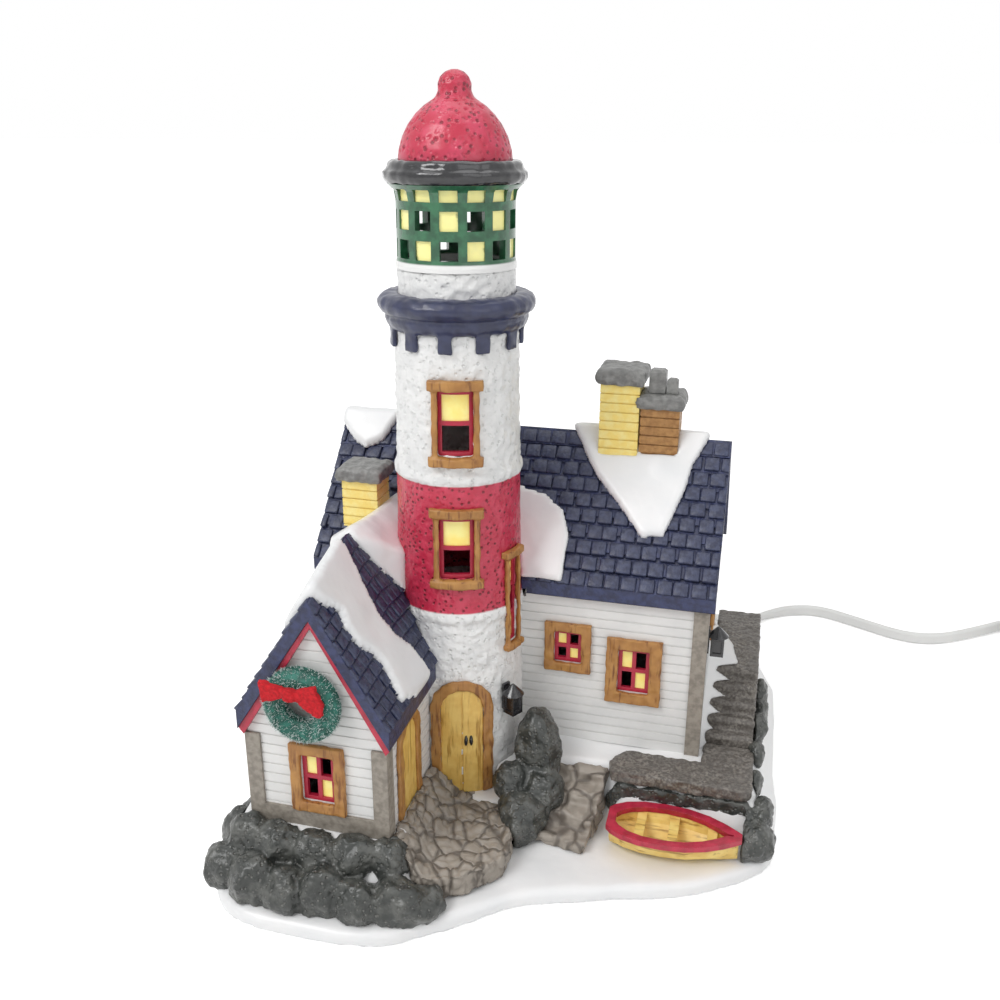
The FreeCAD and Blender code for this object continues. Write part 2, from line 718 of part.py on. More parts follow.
def gallery_ring():
    ring = turned("gallery_ring_turned", RING, "dim.tower_x", "dim.tower_y")
    corbels = []
    for number in range(int(size("corbel_count"))):
        corbels.append(
            radial_block(
                f"corbel_{number}",
                "-dim.corbel_w / 2",
                "dim.corbel_w / 2",
                "dim.shoulder_z - dim.corbel_drop",
                "dim.shoulder_z",
                "dim.tower_r_top + dim.corbel_out",
                "dim.tower_r_top - 1",
                f"dim.corbel_turn + {number} * 360 / dim.corbel_count",
            )
        )
    ring = joined("gallery_ring_whole", ring, *corbels)
    node("gallery_ring", without("gallery_ring_cut", ring, tower_face))


def lantern_room():
    """The green lattice: open panes and shallow closed ones in turn, as on a chequer board."""
    wall = "dim.tower_wall"
    outline = [
        ("dim.neck_r - " + wall, "dim.neck_top"),
        ("dim.neck_r + 0.5", "dim.neck_top"),
        ("dim.neck_r + 0.5", "dim.neck_top + 1.2"),
        ("dim.neck_r", "dim.neck_top + 3"),
        ("dim.neck_r", "dim.pane_top_z"),
        ("dim.neck_r + 0.5", "dim.pane_top_z + dim.pane_top_h - 0.6"),
        ("dim.lantern_flare", "dim.lantern_top"),
        ("dim.neck_r - " + wall, "dim.lantern_top"),
    ]
    body = turned("lantern_room_turned", outline, "dim.tower_x", "dim.tower_y")
    doc.recompute()
    rows = [
        ("low_open", "dim.pane_low_z", "dim.pane_h", 0, False),
        ("low_closed", "dim.pane_low_z", "dim.pane_h", 1, True),
        ("mid_open", "dim.pane_mid_z", "dim.pane_h", 1, False),
        ("mid_closed", "dim.pane_mid_z", "dim.pane_h", 0, True),
        ("top_even", "dim.pane_top_z", "dim.pane_top_h", 0, True),
        ("top_odd", "dim.pane_top_z", "dim.pane_top_h", 1, True),
    ]
    tools = []
    for label, low, high, first, closed in rows:
        far = "dim.neck_r - dim.pane_deep" if closed else "dim.neck_r - 4"
        for number in range(first, int(size("pane_columns")), 2):
            tools.append(
                radial_block(
                    f"{label}_{number}",
                    "-dim.pane_w / 2",
                    "dim.pane_w / 2",
                    low,
                    f"{low} + {high}",
                    "dim.lantern_flare + 1",
                    far,
                    f"dim.pane_turn + {number} * 360 / dim.pane_columns",
                )
            )
    node("lantern_room", without("lantern_panes", body, joined("lantern_pane_tools", *tools)))


def lantern_rim():
    outline = [
        ("dim.dome_r - dim.tower_wall", "dim.lantern_top"),
        ("dim.lantern_flare", "dim.lantern_top"),
        ("dim.rim_r", "dim.lantern_top + dim.rim_h * 0.22"),
        ("dim.rim_r", "dim.lantern_top + dim.rim_h * 0.5"),
        ("dim.rim_r - 0.9", "dim.lantern_top + dim.rim_h * 0.6"),
        ("dim.rim_r - 1.3", "dim.lantern_top + dim.rim_h * 0.68"),
        ("dim.rim_r - 1.3", "dim.lantern_top + dim.rim_h * 0.84"),
        ("dim.rim_r - 2.4", "dim.lantern_top + dim.rim_h"),
        ("dim.dome_r", "dim.lantern_top + dim.rim_h"),
        ("dim.dome_r", "dim.dome_seat"),
        ("dim.dome_r - dim.tower_wall", "dim.dome_seat"),
    ]
    node("lantern_rim", turned("lantern_rim_turned", outline, "dim.tower_x", "dim.tower_y"))


def dome_cap():
    """The bell-shaped dome, hollow, with its knob."""
    foot = size("dome_seat")
    high = size("dome_top")
    top = size("total_h")
    wide = size("dome_r")
    knob = size("knob_r")
    wall = size("tower_wall")
    neck = knob + 0.6
    half_way = foot + (high - foot) * 0.52
    curves = [
        (Part.Arc(V(wide, 0, foot), V(wide * 0.84, 0, half_way), V(neck, 0, high - 0.6)), 7),
        (Part.Arc(V(neck, 0, high - 0.6), V(knob - 0.5, 0, high), V(knob - 0.3, 0, high + 1.2)), 2),
        (Part.Arc(V(knob - 0.3, 0, high + 1.2), V((knob - 0.3) * 0.78, 0, top - 1.4), V(1, 0, top)), 5),
    ]
    hollow = Part.Arc(
        V(1, 0, high - wall), V(wide * 0.84 - wall, 0, foot + (high - foot) * 0.45), V(wide - wall, 0, foot)
    )
    outline = []
    for curve, count in curves:
        outline += curve.toShape().discretize(count)[:-1]
    outline += [V(1, 0, top), V(0, 0, top), V(0, 0, high - wall)] + hollow.toShape().discretize(5)
    dome = Part.Face(closed_wire(outline)).revolve(V(0, 0, 0), UP, 360)
    dome.translate(V(size("tower_x"), size("tower_y"), 0))
    node("dome_cap", shaped("dome_cap", dome))


gallery_ring()
lantern_room()
lantern_rim()
dome_cap()


# ---------------------------------------------------------------- house


def flat_window(name, x, face, z, width, height, frame):
    """A frame and a sash with two by two panes in a wall that faces the front; gives the wall's hole."""
    left = f"{x} - {width} / 2"
    low = f"{z} - {height} / 2"
    out = f"{face} - dim.frame_out"
    hole = block(
        f"{name}_hole",
        f"{left} + {frame}",
        f"{face} - 5",
        f"{low} + {frame}",
        f"{width} - 2 * {frame}",
        "12",
        f"{height} - 2 * {frame}",
    )
    frame_blank = block(f"{name}_blank", left, out, low, width, "dim.frame_out", height)
    node(f"{name}_frame", without(f"{name}_frame_cut", frame_blank, hole))
    gap = "dim.sash_gap"
    sash = block(
        f"{name}_sash_blank",
        f"{left} + {frame} + {gap}",
        f"{face} + dim.sash_set",
        f"{low} + {frame} + {gap}",
        f"{width} - 2 * {frame} - 2 * {gap}",
        "dim.sash_t",
        f"{height} - 2 * {frame} - 2 * {gap}",
    )
    pane_w = f"({width} - 2 * {frame} - 3 * dim.sash_bar) / 2"
    pane_h = f"({height} - 2 * {frame} - 3 * dim.sash_bar) / 2"
    panes = []
    for column in range(2):
        for row in range(2):
            closed = column == row
            panes.append(
                block(
                    f"{name}_pane_{column}_{row}",
                    f"{left} + {frame} + dim.sash_bar + {column} * ({pane_w} + dim.sash_bar)",
                    f"{face} + dim.sash_set - 1",
                    f"{low} + {frame} + dim.sash_bar + {1 - row} * ({pane_h} + dim.sash_bar)",
                    pane_w,
                    "1 + dim.sash_t / 2" if closed else "5",
                    pane_h,
                )
            )
    node(f"{name}_sash", without(f"{name}_sash_cut", sash, *panes))
    return hole


def board_grooves(name, left, right, front, back, low, high):
    """Thin frames, one under each wall board, to be cut into the walls' outside."""
    deep = size("board_groove")
    frames = []
    z = low + size("board")
    while z < high:
        outer = Part.makeBox(right - left + 4, back - front + 4, 0.5, V(left - 2, front - 2, z))
        inner = Part.makeBox(
            right - left - 2 * deep, back - front - 2 * deep, 0.5, V(left + deep, front + deep, z)
        )
        frames.append(outer.cut(inner))
        z += size("board")
    return shaped(name, Part.makeCompound(frames))


def house_walls(*holes):
    peak = roof_under(RIDGE_Y)
    outline = [
        ("dim.house_front", "dim.yard_top"),
        ("dim.house_back", "dim.yard_top"),
        ("dim.house_back", roof_under_back("dim.house_back")),
        (RIDGE_Y, peak),
        ("dim.house_front", roof_under("dim.house_front")),
    ]
    walls = prism("house_walls_blank", "YZ", outline, "dim.house_left", "dim.house_right")
    inside = block(
        "house_inside",
        "dim.house_left + dim.house_wall",
        "dim.house_front + dim.house_wall",
        "dim.yard_top - 5",
        "dim.house_right - dim.house_left - 2 * dim.house_wall",
        "dim.house_back - dim.house_front - 2 * dim.house_wall",
        "dim.ridge_z",
    )
    to_wing = block(
        "way_to_wing",
        "dim.wing_left + 2 * dim.house_wall",
        "dim.house_front - 5",
        "dim.yard_top - 5",
        "dim.wing_right - dim.wing_left - 4 * dim.house_wall",
        "12",
        "dim.wing_eave_z - dim.yard_top - 4",
    )
    lamp_hole = rod(
        "lamp_hole", "dim.lamp_hole_r", "20", "dim.lamp_x", "dim.house_back - 10", "dim.lamp_z", V(0, 1, 0)
    )
    grooves = board_grooves(
        "house_board_grooves",
        size("house_left"),
        size("house_right"),
        size("house_front"),
        size("house_back"),
        size("yard_top"),
        size("ridge_z") - 8,
    )
    node(
        "house_walls",
        without("house_walls_cut", walls, inside, to_wing, lamp_hole, grooves, tower_space, *holes),
    )


def shingled(name, eave_y, eave_z, ridge_y, ridge_z, drop, left, right):
    """A roof of two slopes whose shingle courses overlap downwards, along X."""
    rise = ridge_z - eave_z
    run = ridge_y - eave_y
    courses = max(1, int(rise / size("course")))
    step = size("course_step")
    slope_length = math.hypot(rise, run)
    out = V(0, -rise / slope_length * step, run / slope_length * step)
    front = [V(left, eave_y, eave_z - drop)]
    for number in range(courses):
        low = V(left, eave_y + run * number / courses, eave_z + rise * number / courses)
        high = V(left, eave_y + run * (number + 1) / courses, eave_z + rise * (number + 1) / courses)
        front += [low, high - out] if number < courses - 1 else [low, high]
    back = [V(left, 2 * ridge_y - point.y, point.z) for point in reversed(front[:-1])]
    under = V(left, ridge_y, ridge_z - drop)
    outline = Part.makePolygon(front + back + [under, front[0]])
    return shaped(name, Part.Face(outline).extrude(V(right - left, 0, 0)))


def house_roof():
    ridge_y = value(RIDGE_Y)
    whole = shingled(
        "house_roof_blank", size("eave_front"), size("eave_z"), ridge_y, size("ridge_z"),
        size("roof_drop"), size("roof_left"), size("roof_right"),
    )
    roof = without("house_roof_cut", whole, tower_space)
    node("house_roof", roof)
    return roof


def eave_trims():
    def strip(tag, face, out, under_face, under_out):
        outline = [
            (face, f"{under_face} - dim.trim_h"),
            (out, f"{under_face} - dim.trim_h"),
            (out, under_out),
            (face, under_face),
        ]
        return prism(f"eave_trim_{tag}", "YZ", outline, "dim.house_left", "dim.house_right")

    front_out = "dim.house_front - dim.trim_w"
    front = strip(
        "front", "dim.house_front", front_out, roof_under("dim.house_front"), roof_under(front_out)
    )
    back_out = "dim.house_back + dim.trim_w"
    back = strip(
        "back", "dim.house_back", back_out, roof_under_back("dim.house_back"), roof_under_back(back_out)
    )
    return front, back


def corner_board(name, x_out, x_in, y_out, y_in, top):
    """An L-shaped board round an upright corner: out is past the walls, in is along them."""
    outline = [
        (x_in, y_out), (x_out, y_out), (x_out, y_in),
        (f"{x_out} - ({x_out} - ({x_in})) / dim.post_w * dim.post_t", y_in),
        (f"{x_out} - ({x_out} - ({x_in})) / dim.post_w * dim.post_t",
         f"{y_out} - ({y_out} - ({y_in})) / dim.post_w * dim.post_t"),
        (x_in, f"{y_out} - ({y_out} - ({y_in})) / dim.post_w * dim.post_t"),
    ]
    return prism(name, "XY", outline, "dim.yard_top", top)


small_hole = flat_window(
    "small_window", "dim.win_a_x", "dim.house_front", "dim.win_a_z",
    "dim.win_a_w", "dim.win_a_h", "dim.win_a_frame",
)
large_hole = flat_window(
    "large_window", "dim.win_b_x", "dim.house_front", "dim.win_b_z",
    "dim.win_b_w", "dim.win_b_h", "dim.win_b_frame",
)
house_walls(small_hole, large_hole)
roof = house_roof()
front_trim, back_trim = eave_trims()
node("eave_trim_back", back_trim)
post_top = roof_under("dim.house_front") + " - dim.trim_h"
node(
    "corner_board_front",
    corner_board(
        "corner_board_front_pad",
        "(dim.house_right + dim.post_t)",
        "(dim.house_right + dim.post_t - dim.post_w)",
        "(dim.house_front - dim.post_t)",
        "(dim.house_front - dim.post_t + dim.post_w)",
        post_top,
    ),
)
node(
    "corner_board_back",
    corner_board(
        "corner_board_back_pad",
        "(dim.house_right + dim.post_t)",
        "(dim.house_right + dim.post_t - dim.post_w)",
        "(dim.house_back + dim.post_t)",
        "(dim.house_back + dim.post_t - dim.post_w)",
        post_top,
    ),
)

# ---------------------------------------------------------------- wing


def wing_profile(y, ridge_x, ridge_z, lift):
    """The wing roof's outline across the ridge at y: its top, raised by lift, and its underside."""
    eave_z = size("wing_eave_z") + lift
    left = size("wing_eave_left")
    right = size("wing_eave_right")
    drop = size("wing_roof_t") + lift
    top = ridge_z + lift
    return [
        V(left, y, eave_z - drop), V(left, y, eave_z), V(ridge_x, y, top), V(right, y, eave_z),
        V(right, y, eave_z - drop), V(ridge_x, y, top - drop),
    ]


def wing_sections():
    """Place and height of the wing's ridge at its front, its peak and where it runs into the house."""
    return [
        (size("wing_roof_front"), size("wing_ridge_x"), size("wing_ridge_z")),
        (size("wing_peak_y"), size("wing_peak_x"), size("wing_peak_z")),
        (size("house_front"), size("wing_peak_x"), size("wing_ridge_z")),
    ]


def ruled(wires):
    """One straight-sided solid through the wires, span by span."""
    spans = [Part.makeLoft([a, b], True, True) for a, b in zip(wires, wires[1:])]
    return spans[0] if len(spans) == 1 else spans[0].multiFuse(spans[1:]).removeSplitter()


def wing_roof_shape(lift=0.0, behind=0.0):
    sections = wing_sections()
    y, x, z = sections[-1]
    sections[-1] = (y + behind, x, z)
    return ruled([closed_wire(wing_profile(y, x, z, lift)) for y, x, z in sections])


def wing_walls(*holes):
    blank = block(
        "wing_walls_blank",
        "dim.wing_left",
        "dim.wing_front",
        "dim.yard_top",
        "dim.wing_right - dim.wing_left",
        "dim.house_front - dim.wing_front",
        "dim.wing_peak_z - dim.yard_top",
    )
    inside = block(
        "wing_inside",
        "dim.wing_left + dim.house_wall",
        "dim.wing_front + dim.house_wall",
        "dim.yard_top - 5",
        "dim.wing_right - dim.wing_left - 2 * dim.house_wall",
        "dim.house_front - dim.wing_front",
        "dim.wing_peak_z",
    )
    sections = []
    for y, ridge_x, ridge_z in wing_sections():
        start = y - 1 if y == size("wing_roof_front") else y + 1
        left, _, _, right, low_right, low_ridge = wing_profile(start, ridge_x, ridge_z, 0.0)
        low_left = V(left.x, start, left.z)
        high = size("wing_peak_z") + 30
        sections.append(
            closed_wire(
                [low_left, V(left.x, start, high), V(right.x, start, high), low_right, low_ridge]
            )
        )
    over = shaped("wing_over_roof", ruled(sections))
    grooves = board_grooves(
        "wing_board_grooves",
        size("wing_left"),
        size("wing_right"),
        size("wing_front"),
        size("house_front") + 20,
        size("yard_top"),
        size("wing_ridge_z"),
    )
    node("wing_walls", without("wing_walls_cut", blank, inside, over, grooves, tower_space, *holes))


gable_hole = flat_window(
    "gable_window", "dim.win_c_x", "dim.wing_front", "dim.win_c_z",
    "dim.win_c_w", "dim.win_c_h", "dim.win_c_frame",
)
wing_walls(gable_hole)
house_block = prism(
    "house_block",
    "YZ",
    [
        ("dim.house_front", "0"),
        ("dim.house_back", "0"),
        ("dim.eave_back", "dim.eave_z"),
        (RIDGE_Y, "dim.ridge_z + dim.course_step"),
        ("dim.eave_front - dim.course_step", "dim.eave_z"),
        ("dim.eave_front - dim.course_step", "dim.eave_z - dim.roof_drop"),
        ("dim.house_front", "dim.eave_z - dim.roof_drop"),
    ],
    "dim.roof_left",
    "dim.roof_right",
)
wing_roof = without(
    "wing_roof_cut", shaped("wing_roof_blank", wing_roof_shape()), house_block, tower_space
)
node("wing_roof", wing_roof)
node("wing_walls", without("wing_walls_fit", nodes["wing_walls"], wing_roof))


def rake_trim():
    """The red trim on the gable, a chevron that follows the roof's underside."""
    y, ridge_x, ridge_z = wing_sections()[0]
    drop = size("wing_roof_t")
    high = ridge_z - drop
    low = size("wing_eave_z") - drop
    left = size("wing_eave_left")
    right = size("wing_eave_right")
    deep = size("rake_h")
    front = size("wing_front") - size("trim_w")
    outline = [
        V(left, front, low), V(ridge_x, front, high), V(right, front, low),
        V(right - 1.5, front, low - deep), V(ridge_x, front, high - deep * 1.25), V(left + 1.5, front, low - deep),
    ]
    chevron = Part.Face(closed_wire(outline)).extrude(V(0, size("trim_w"), 0))
    return shaped("rake_trim_blank", chevron)


node("rake_trim", without("rake_trim_cut", rake_trim(), wing_roof))
front_trim_cut = without("eave_trim_front_cut", front_trim, wing_roof, tower_space)
node("eave_trim_front", front_trim_cut)
wing_post_top = "dim.wing_eave_z - dim.wing_roof_t - dim.rake_h"
node(
    "wing_board_left",
    corner_board(
        "wing_board_left_pad",
        "(dim.wing_left - dim.post_t)",
        "(dim.wing_left - dim.post_t + dim.post_w)",
        "(dim.wing_front - dim.post_t)",
        "(dim.wing_front - dim.post_t + dim.post_w)",
        wing_post_top,
    ),
)
node(
    "wing_board_right",
    corner_board(
        "wing_board_right_pad",
        "(dim.wing_right + dim.post_t)",
        "(dim.wing_right + dim.post_t - dim.post_w)",
        "(dim.wing_front - dim.post_t)",
        "(dim.wing_front - dim.post_t + dim.post_w)",
        wing_post_top,
    ),
)
node(
    "gable_sill_band",
    block(
        "gable_sill_band_block",
        "dim.wing_left - dim.post_t + dim.post_w",
        "dim.wing_front - dim.post_t",
        "dim.yard_top",
        "dim.wing_right - dim.wing_left + 2 * dim.post_t - 2 * dim.post_w",
        "dim.post_t",
        "dim.win_c_z - dim.win_c_h / 2 - dim.yard_top",
    ),
)


def side_door(name, face, middle, width, height, foot):
    """An arched door in a wall that faces +X: its brown arch and its yellow leaf."""
    outer = f"{width} / 2"
    inner = f"{width} / 2 - dim.door_frame"

    def carried(tag, points, out):
        body = prism(f"{name}_{tag}", "YZ", points, "0", out)
        return bind(body, at_x=face, at_y=middle, at_z="0")

    top = f"{foot} + {height}"
    blank = carried("arch_blank", arch_points(outer, foot, top), "dim.door_out")
    inside = carried("leaf_pad", arch_points(inner, foot, f"{top} - dim.door_frame"), "dim.leaf_out")
    tool = carried("leaf_hole", arch_points(inner, f"{foot} - 1", f"{top} - dim.door_frame"), "5")
    node(f"{name}_arch", without(f"{name}_arch_cut", blank, tool))
    node(name, inside)


side_door(
    "wing_door", "dim.wing_right", "dim.wing_door_y", "dim.wing_door_w", "dim.wing_door_h", "dim.yard_top"
)
LANDING_TOP = "(dim.yard_top + dim.walk_steps * dim.walk_riser)"
side_door(
    "landing_door", "dim.house_right", "dim.gable_door_y",
    "dim.gable_door_w", "dim.gable_door_h", LANDING_TOP,
)


# ---------------------------------------------------------------- walkway, steps and path


def side_walk():
    """A flight of steps and its upper landing along the right gable."""
    points = [("dim.walk_steps_y", "dim.yard_top")]
    for number in range(int(size("walk_steps"))):
        y = f"dim.walk_steps_y + {number} * dim.walk_tread"
        points.append((y, f"dim.yard_top + {number} * dim.walk_riser + (dim.walk_riser - 0.9)"))
        points.append((f"{y} + 0.9", f"dim.yard_top + {number + 1} * dim.walk_riser"))
        if number < int(size("walk_steps")) - 1:
            points.append((f"{y} + dim.walk_tread", f"dim.yard_top + {number + 1} * dim.walk_riser"))
    points += [("dim.walk_back", LANDING_TOP), ("dim.walk_back", "dim.yard_top")]
    stairs = prism("side_steps_pad", "YZ", points, "dim.walk_left + dim.door_out", "dim.walk_right")
    node("side_steps", stairs)
    slab_points = [
        ("dim.landing_left", "dim.walk_front + 1"),
        ("dim.walk_right - 1", "dim.walk_front"),
        ("dim.walk_right + 0.8", "dim.walk_front + 2"),
        ("dim.walk_right + 0.8", "dim.walk_steps_y - 0.1"),
        ("dim.walk_left + 1", "dim.walk_steps_y - 0.1"),
        ("dim.walk_left + 1", "dim.walk_front + dim.landing_deep"),
        ("dim.landing_left + 3", "dim.walk_front + dim.landing_deep + 1"),
        ("dim.landing_left - 1.5", "dim.walk_front + dim.landing_deep / 2"),
    ]
    slab = prism("landing_pad", "XY", slab_points, "dim.yard_top", "dim.yard_top + dim.slab_t / 4")
    lip = [(x, f"({y})") for x, y in slab_points]
    edge = prism("landing_edge", "XY", lip, "dim.yard_top - dim.slab_t * 3 / 4", "dim.yard_top")
    node("lower_landing", without("lower_landing_cut", joined("landing_whole", slab, edge), ground))


def front_steps():
    points = [("0", "dim.base_edge"), ("0", "dim.yard_top - 1.5")]
    count = int(size("steps_count"))
    rise = f"((dim.yard_top - 1.5 - dim.base_edge) / {count})"
    for number in range(count):
        y = f"-dim.steps_tread * {number + 1}"
        z = f"dim.yard_top - 1.5 - {number} * {rise}"
        points += [(f"{y} + 1", z), (y, f"{z} - 1")]
        if number < count - 1:
            points.append((y, f"{z} - {rise}"))
    points.append((f"-dim.steps_tread * {count}", "dim.base_edge"))
    flight = prism("front_steps_pad", "YZ", points, "0", "dim.steps_w")
    bind(flight, at_x="dim.steps_left", at_y="dim.steps_back", turn="dim.steps_turn")
    node("front_steps", without("front_steps_cut", flight, ground, nodes["lower_landing"]))


def cobbled_path():
    corners = [(-25, -23), (-8, -20), (1, -26), (7, -40), (8, -52), (-2, -64), (-14, -70), (-25, -66)]
    radii = [1, 3, 6, 8, 8, 8, 6, 1]
    wire = rounded_wire([(x, y, size("base_edge")) for x, y in corners], radii, closed=True)
    column = shaped("path_column", Part.Face(wire).extrude(UP * 20))
    level = [
        (-25, 23), (-21.5, 22.6), (-14, 14.2), (-9, size("path_top")), (12, size("path_top")),
        (12, size("base_edge")), (-25, size("base_edge")),
    ]
    ramp = Part.Face(closed_wire([V(x, -80, z) for x, z in level])).extrude(V(0, 80, 0))
    path = common("path_slab", column, shaped("path_ramp", ramp))
    doors = ("tower_door_arch", "tower_door", "wing_door_arch", "wing_door")
    beside = [nodes[label] for label in ("wing_walls", "wing_board_right") + doors]
    path = without("cobbled_path_cut", path, ground, tower_space, *beside)
    node("cobbled_path", kept("cobbled_path_kept", path, 500))


def walk_snow():
    """A drift along the right gable, over the left part of the steps and the landing."""
    wall = size("house_right")
    foot = size("walk_steps_y")
    head = foot + size("walk_steps") * size("walk_tread")
    rise = size("walk_steps") * size("walk_riser")
    sections = []
    for y, lift, out in ((6, 0, 1.5), (foot, 0, 4), (head, rise, 11), (44, rise, 9), (56, rise, 3)):
        low = size("yard_top") + lift
        sections.append(
            closed_wire(
                [
                    V(wall, y, low - 4), V(wall, y, low + 6), V(wall + out, y, low + 0.6),
                    V(wall + out, y, low - 4),
                ]
            )
        )
    return shaped("walk_snow_drift", ruled(sections))


side_walk()
front_steps()
cobbled_path()
drift_tools = [nodes[label] for label in ("side_steps", "lower_landing", "landing_door_arch", "landing_door")]
drift = without("walk_snow_cut", walk_snow(), ground, *drift_tools)
node("walk_snow", kept("walk_snow_kept", drift, 20))

# ---------------------------------------------------------------- chimneys and roof snow


def brick_joints(name, x, y, width, depth, low, high):
    """Thin frames round a shaft, one per brick course."""
    deep = size("brick_groove")
    frames = []
    z = high - size("brick_h")
    while z > low:
        outer = Part.makeBox(width + 4, depth + 4, 0.4, V(x - 2, y - 2, z))
        inner = Part.makeBox(width - 2 * deep, depth - 2 * deep, 0.4, V(x + deep, y + deep, z))
        frames.append(outer.cut(inner))
        z -= size("brick_h")
    return shaped(name, Part.makeCompound(frames))


def chimney(name, x, y, width, depth, foot, top, cap_h, *tools):
    """A bricked shaft seated on the roof, and its cap with sloping top edges."""
    shaft = block(f"{name}_block", x, y, foot, width, depth, f"{top} - ({foot})")
    joints = brick_joints(
        f"{name}_joints", value(x), value(y), value(width), value(depth), value(foot), value(top)
    )
    node(f"{name}_shaft", without(f"{name}_cut", shaft, joints, *tools))
    over = size("cap_over")
    low = value(top)
    high = low + value(cap_h)
    left, right = value(x) - over, value(x) + value(width) + over
    front, back = value(y) - over, value(y) + value(depth) + over
    wires = []
    for z, inset in ((low, 0.6), (low + (high - low) * 0.35, 0.0), (high - 1.2, 0.3), (high, 1.6)):
        wires.append(
            closed_wire(
                [
                    V(left + inset, front + inset, z), V(right - inset, front + inset, z),
                    V(right - inset, back - inset, z), V(left + inset, back - inset, z),
                ]
            )
        )
    return shaped(f"{name}_cap_loft", ruled(wires))


house_under = prism(
    "house_under",
    "YZ",
    [
        ("dim.house_front", "0"),
        ("dim.house_back", "0"),
        ("dim.eave_back", "dim.eave_z - dim.roof_drop / 2"),
        (RIDGE_Y, "dim.ridge_z - dim.roof_drop / 2"),
        ("dim.eave_front", "dim.eave_z - dim.roof_drop / 2"),
        ("dim.house_front", "dim.eave_z - dim.roof_drop"),
    ],
    "dim.roof_left",
    "dim.roof_right",
)


def wing_under():
    """All that lies under the middle of the wing roof's thickness."""
    wires = []
    for y, ridge_x, ridge_z in wing_sections():
        _, left, ridge, right, _, _ = wing_profile(y, ridge_x, ridge_z, -size("wing_roof_t") / 2)
        wires.append(closed_wire([V(left.x, y, 0), left, ridge, right, V(right.x, y, 0)]))
    return shaped("wing_under", ruled(wires))


wing_inner = wing_under()
STACK_C_X = "dim.stack_b_x + dim.stack_b_w + 0.4"
saddle_foot = "dim.wing_ridge_z - 4"
node(
    "saddle_chimney_cap",
    chimney(
        "saddle_chimney", "dim.stack_a_x", "dim.stack_a_y", "dim.stack_a_w", "dim.stack_a_d",
        saddle_foot, "dim.stack_a_top", "dim.cap_h", house_block, wing_roof, wing_inner,
    ),
)
tall_cap = chimney(
    "tall_chimney", "dim.stack_b_x", "dim.stack_b_y", "dim.stack_b_w", "dim.stack_b_d",
    "dim.ridge_z - 12", "dim.stack_b_top", "dim.cap_h + 0.6", roof, house_under,
)
brown_cap = chimney(
    "brown_chimney", STACK_C_X, "dim.stack_b_y + 1", "dim.stack_c_w", "dim.stack_c_d",
    "dim.ridge_z - 12", "dim.stack_c_top", "dim.cap_h", roof, house_under,
)
tall_shaft = nodes["tall_chimney_shaft"]
node("tall_chimney_cap", tall_cap)
node("brown_chimney_cap", without("brown_cap_cut", brown_cap, tall_cap, tall_shaft))


def chimney_pots():
    """Two stepped square pots on the brown chimney, leaning on the tall one."""
    pots = []
    low = size("stack_c_top") + size("cap_h")
    left = value(STACK_C_X)
    for x, width, height in ((left + 2.2, 5.4, 7.6), (left + 8.0, 3.6, 5.0)):
        pots.append(Part.makeBox(width, width, height, V(x, size("stack_b_y") + 2.2, low)))
        rim = [e for e in pots[-1].Edges if e.BoundBox.ZMin > low + height - 0.1]
        pots[-1] = pots[-1].makeChamfer(0.8, rim)
    return shaped("chimney_pots_pair", Part.makeCompound(pots))


node("chimney_pots", without("chimney_pots_cut", chimney_pots(), tall_cap))


def roof_snow(name, corners, thick=2.4):
    """A patch of snow on the house roof, from its outline in plan; its sides stand upright."""
    points = [V(x, y, 0) for x, y in corners]
    column = Part.Face(closed_wire(points)).extrude(UP * (size("ridge_z") + 20))
    ridge_y = value(RIDGE_Y)
    blanket = closed_wire(
        [
            V(size("roof_left"), size("eave_front"), size("eave_z") - 1),
            V(size("roof_left"), size("eave_front"), size("eave_z") + thick),
            V(size("roof_left"), ridge_y - 1.5, size("ridge_z") + thick - 0.4),
            V(size("roof_left"), ridge_y + 1.5, size("ridge_z") + thick - 0.4),
            V(size("roof_left"), size("eave_back"), size("eave_z") + thick),
            V(size("roof_left"), size("eave_back"), size("eave_z") - 1),
        ]
    )
    blanket = Part.Face(blanket).extrude(V(size("roof_right") - size("roof_left"), 0, 0))
    return shaped(name, column.common(blanket))


ridge_y = value(RIDGE_Y)
CHIMNEY_SNOW = [
    (9.2, ridge_y), (18.7, 24), (29, 16.4), (36.3, 10.6), (43.3, 11.3), (47.8, 21), (50, 27.5),
    (54.5, ridge_y), (46, 44), (18, 45),
]
TOWER_SNOW = [(-8, 18.5), (2.9, 17), (9.5, 14), (12.6, 8), (12.4, -0.6), (-8, -0.6)]
LEFT_SNOW = [(-74.3, 31), (-69, 27.5), (-64.2, 25.4), (-58.5, 27.5), (-54, ridge_y), (-60, 42), (-74.3, 41)]
snow = without(
    "chimney_snow_cut",
    roof_snow("chimney_snow_patch", CHIMNEY_SNOW),
    house_block, doc.getObject("tall_chimney_block"), doc.getObject("brown_chimney_block"),
)
node("roof_snow_chimney", kept("chimney_snow_kept", snow, 20))
snow = without("tower_snow_cut", roof_snow("tower_snow_patch", TOWER_SNOW), house_block, tower_space)
node("roof_snow_tower", kept("tower_snow_kept", snow, 20))
snow = without("left_snow_cut", roof_snow("left_snow_patch", LEFT_SNOW), house_block)
node("roof_snow_left", kept("left_snow_kept", snow, 20))


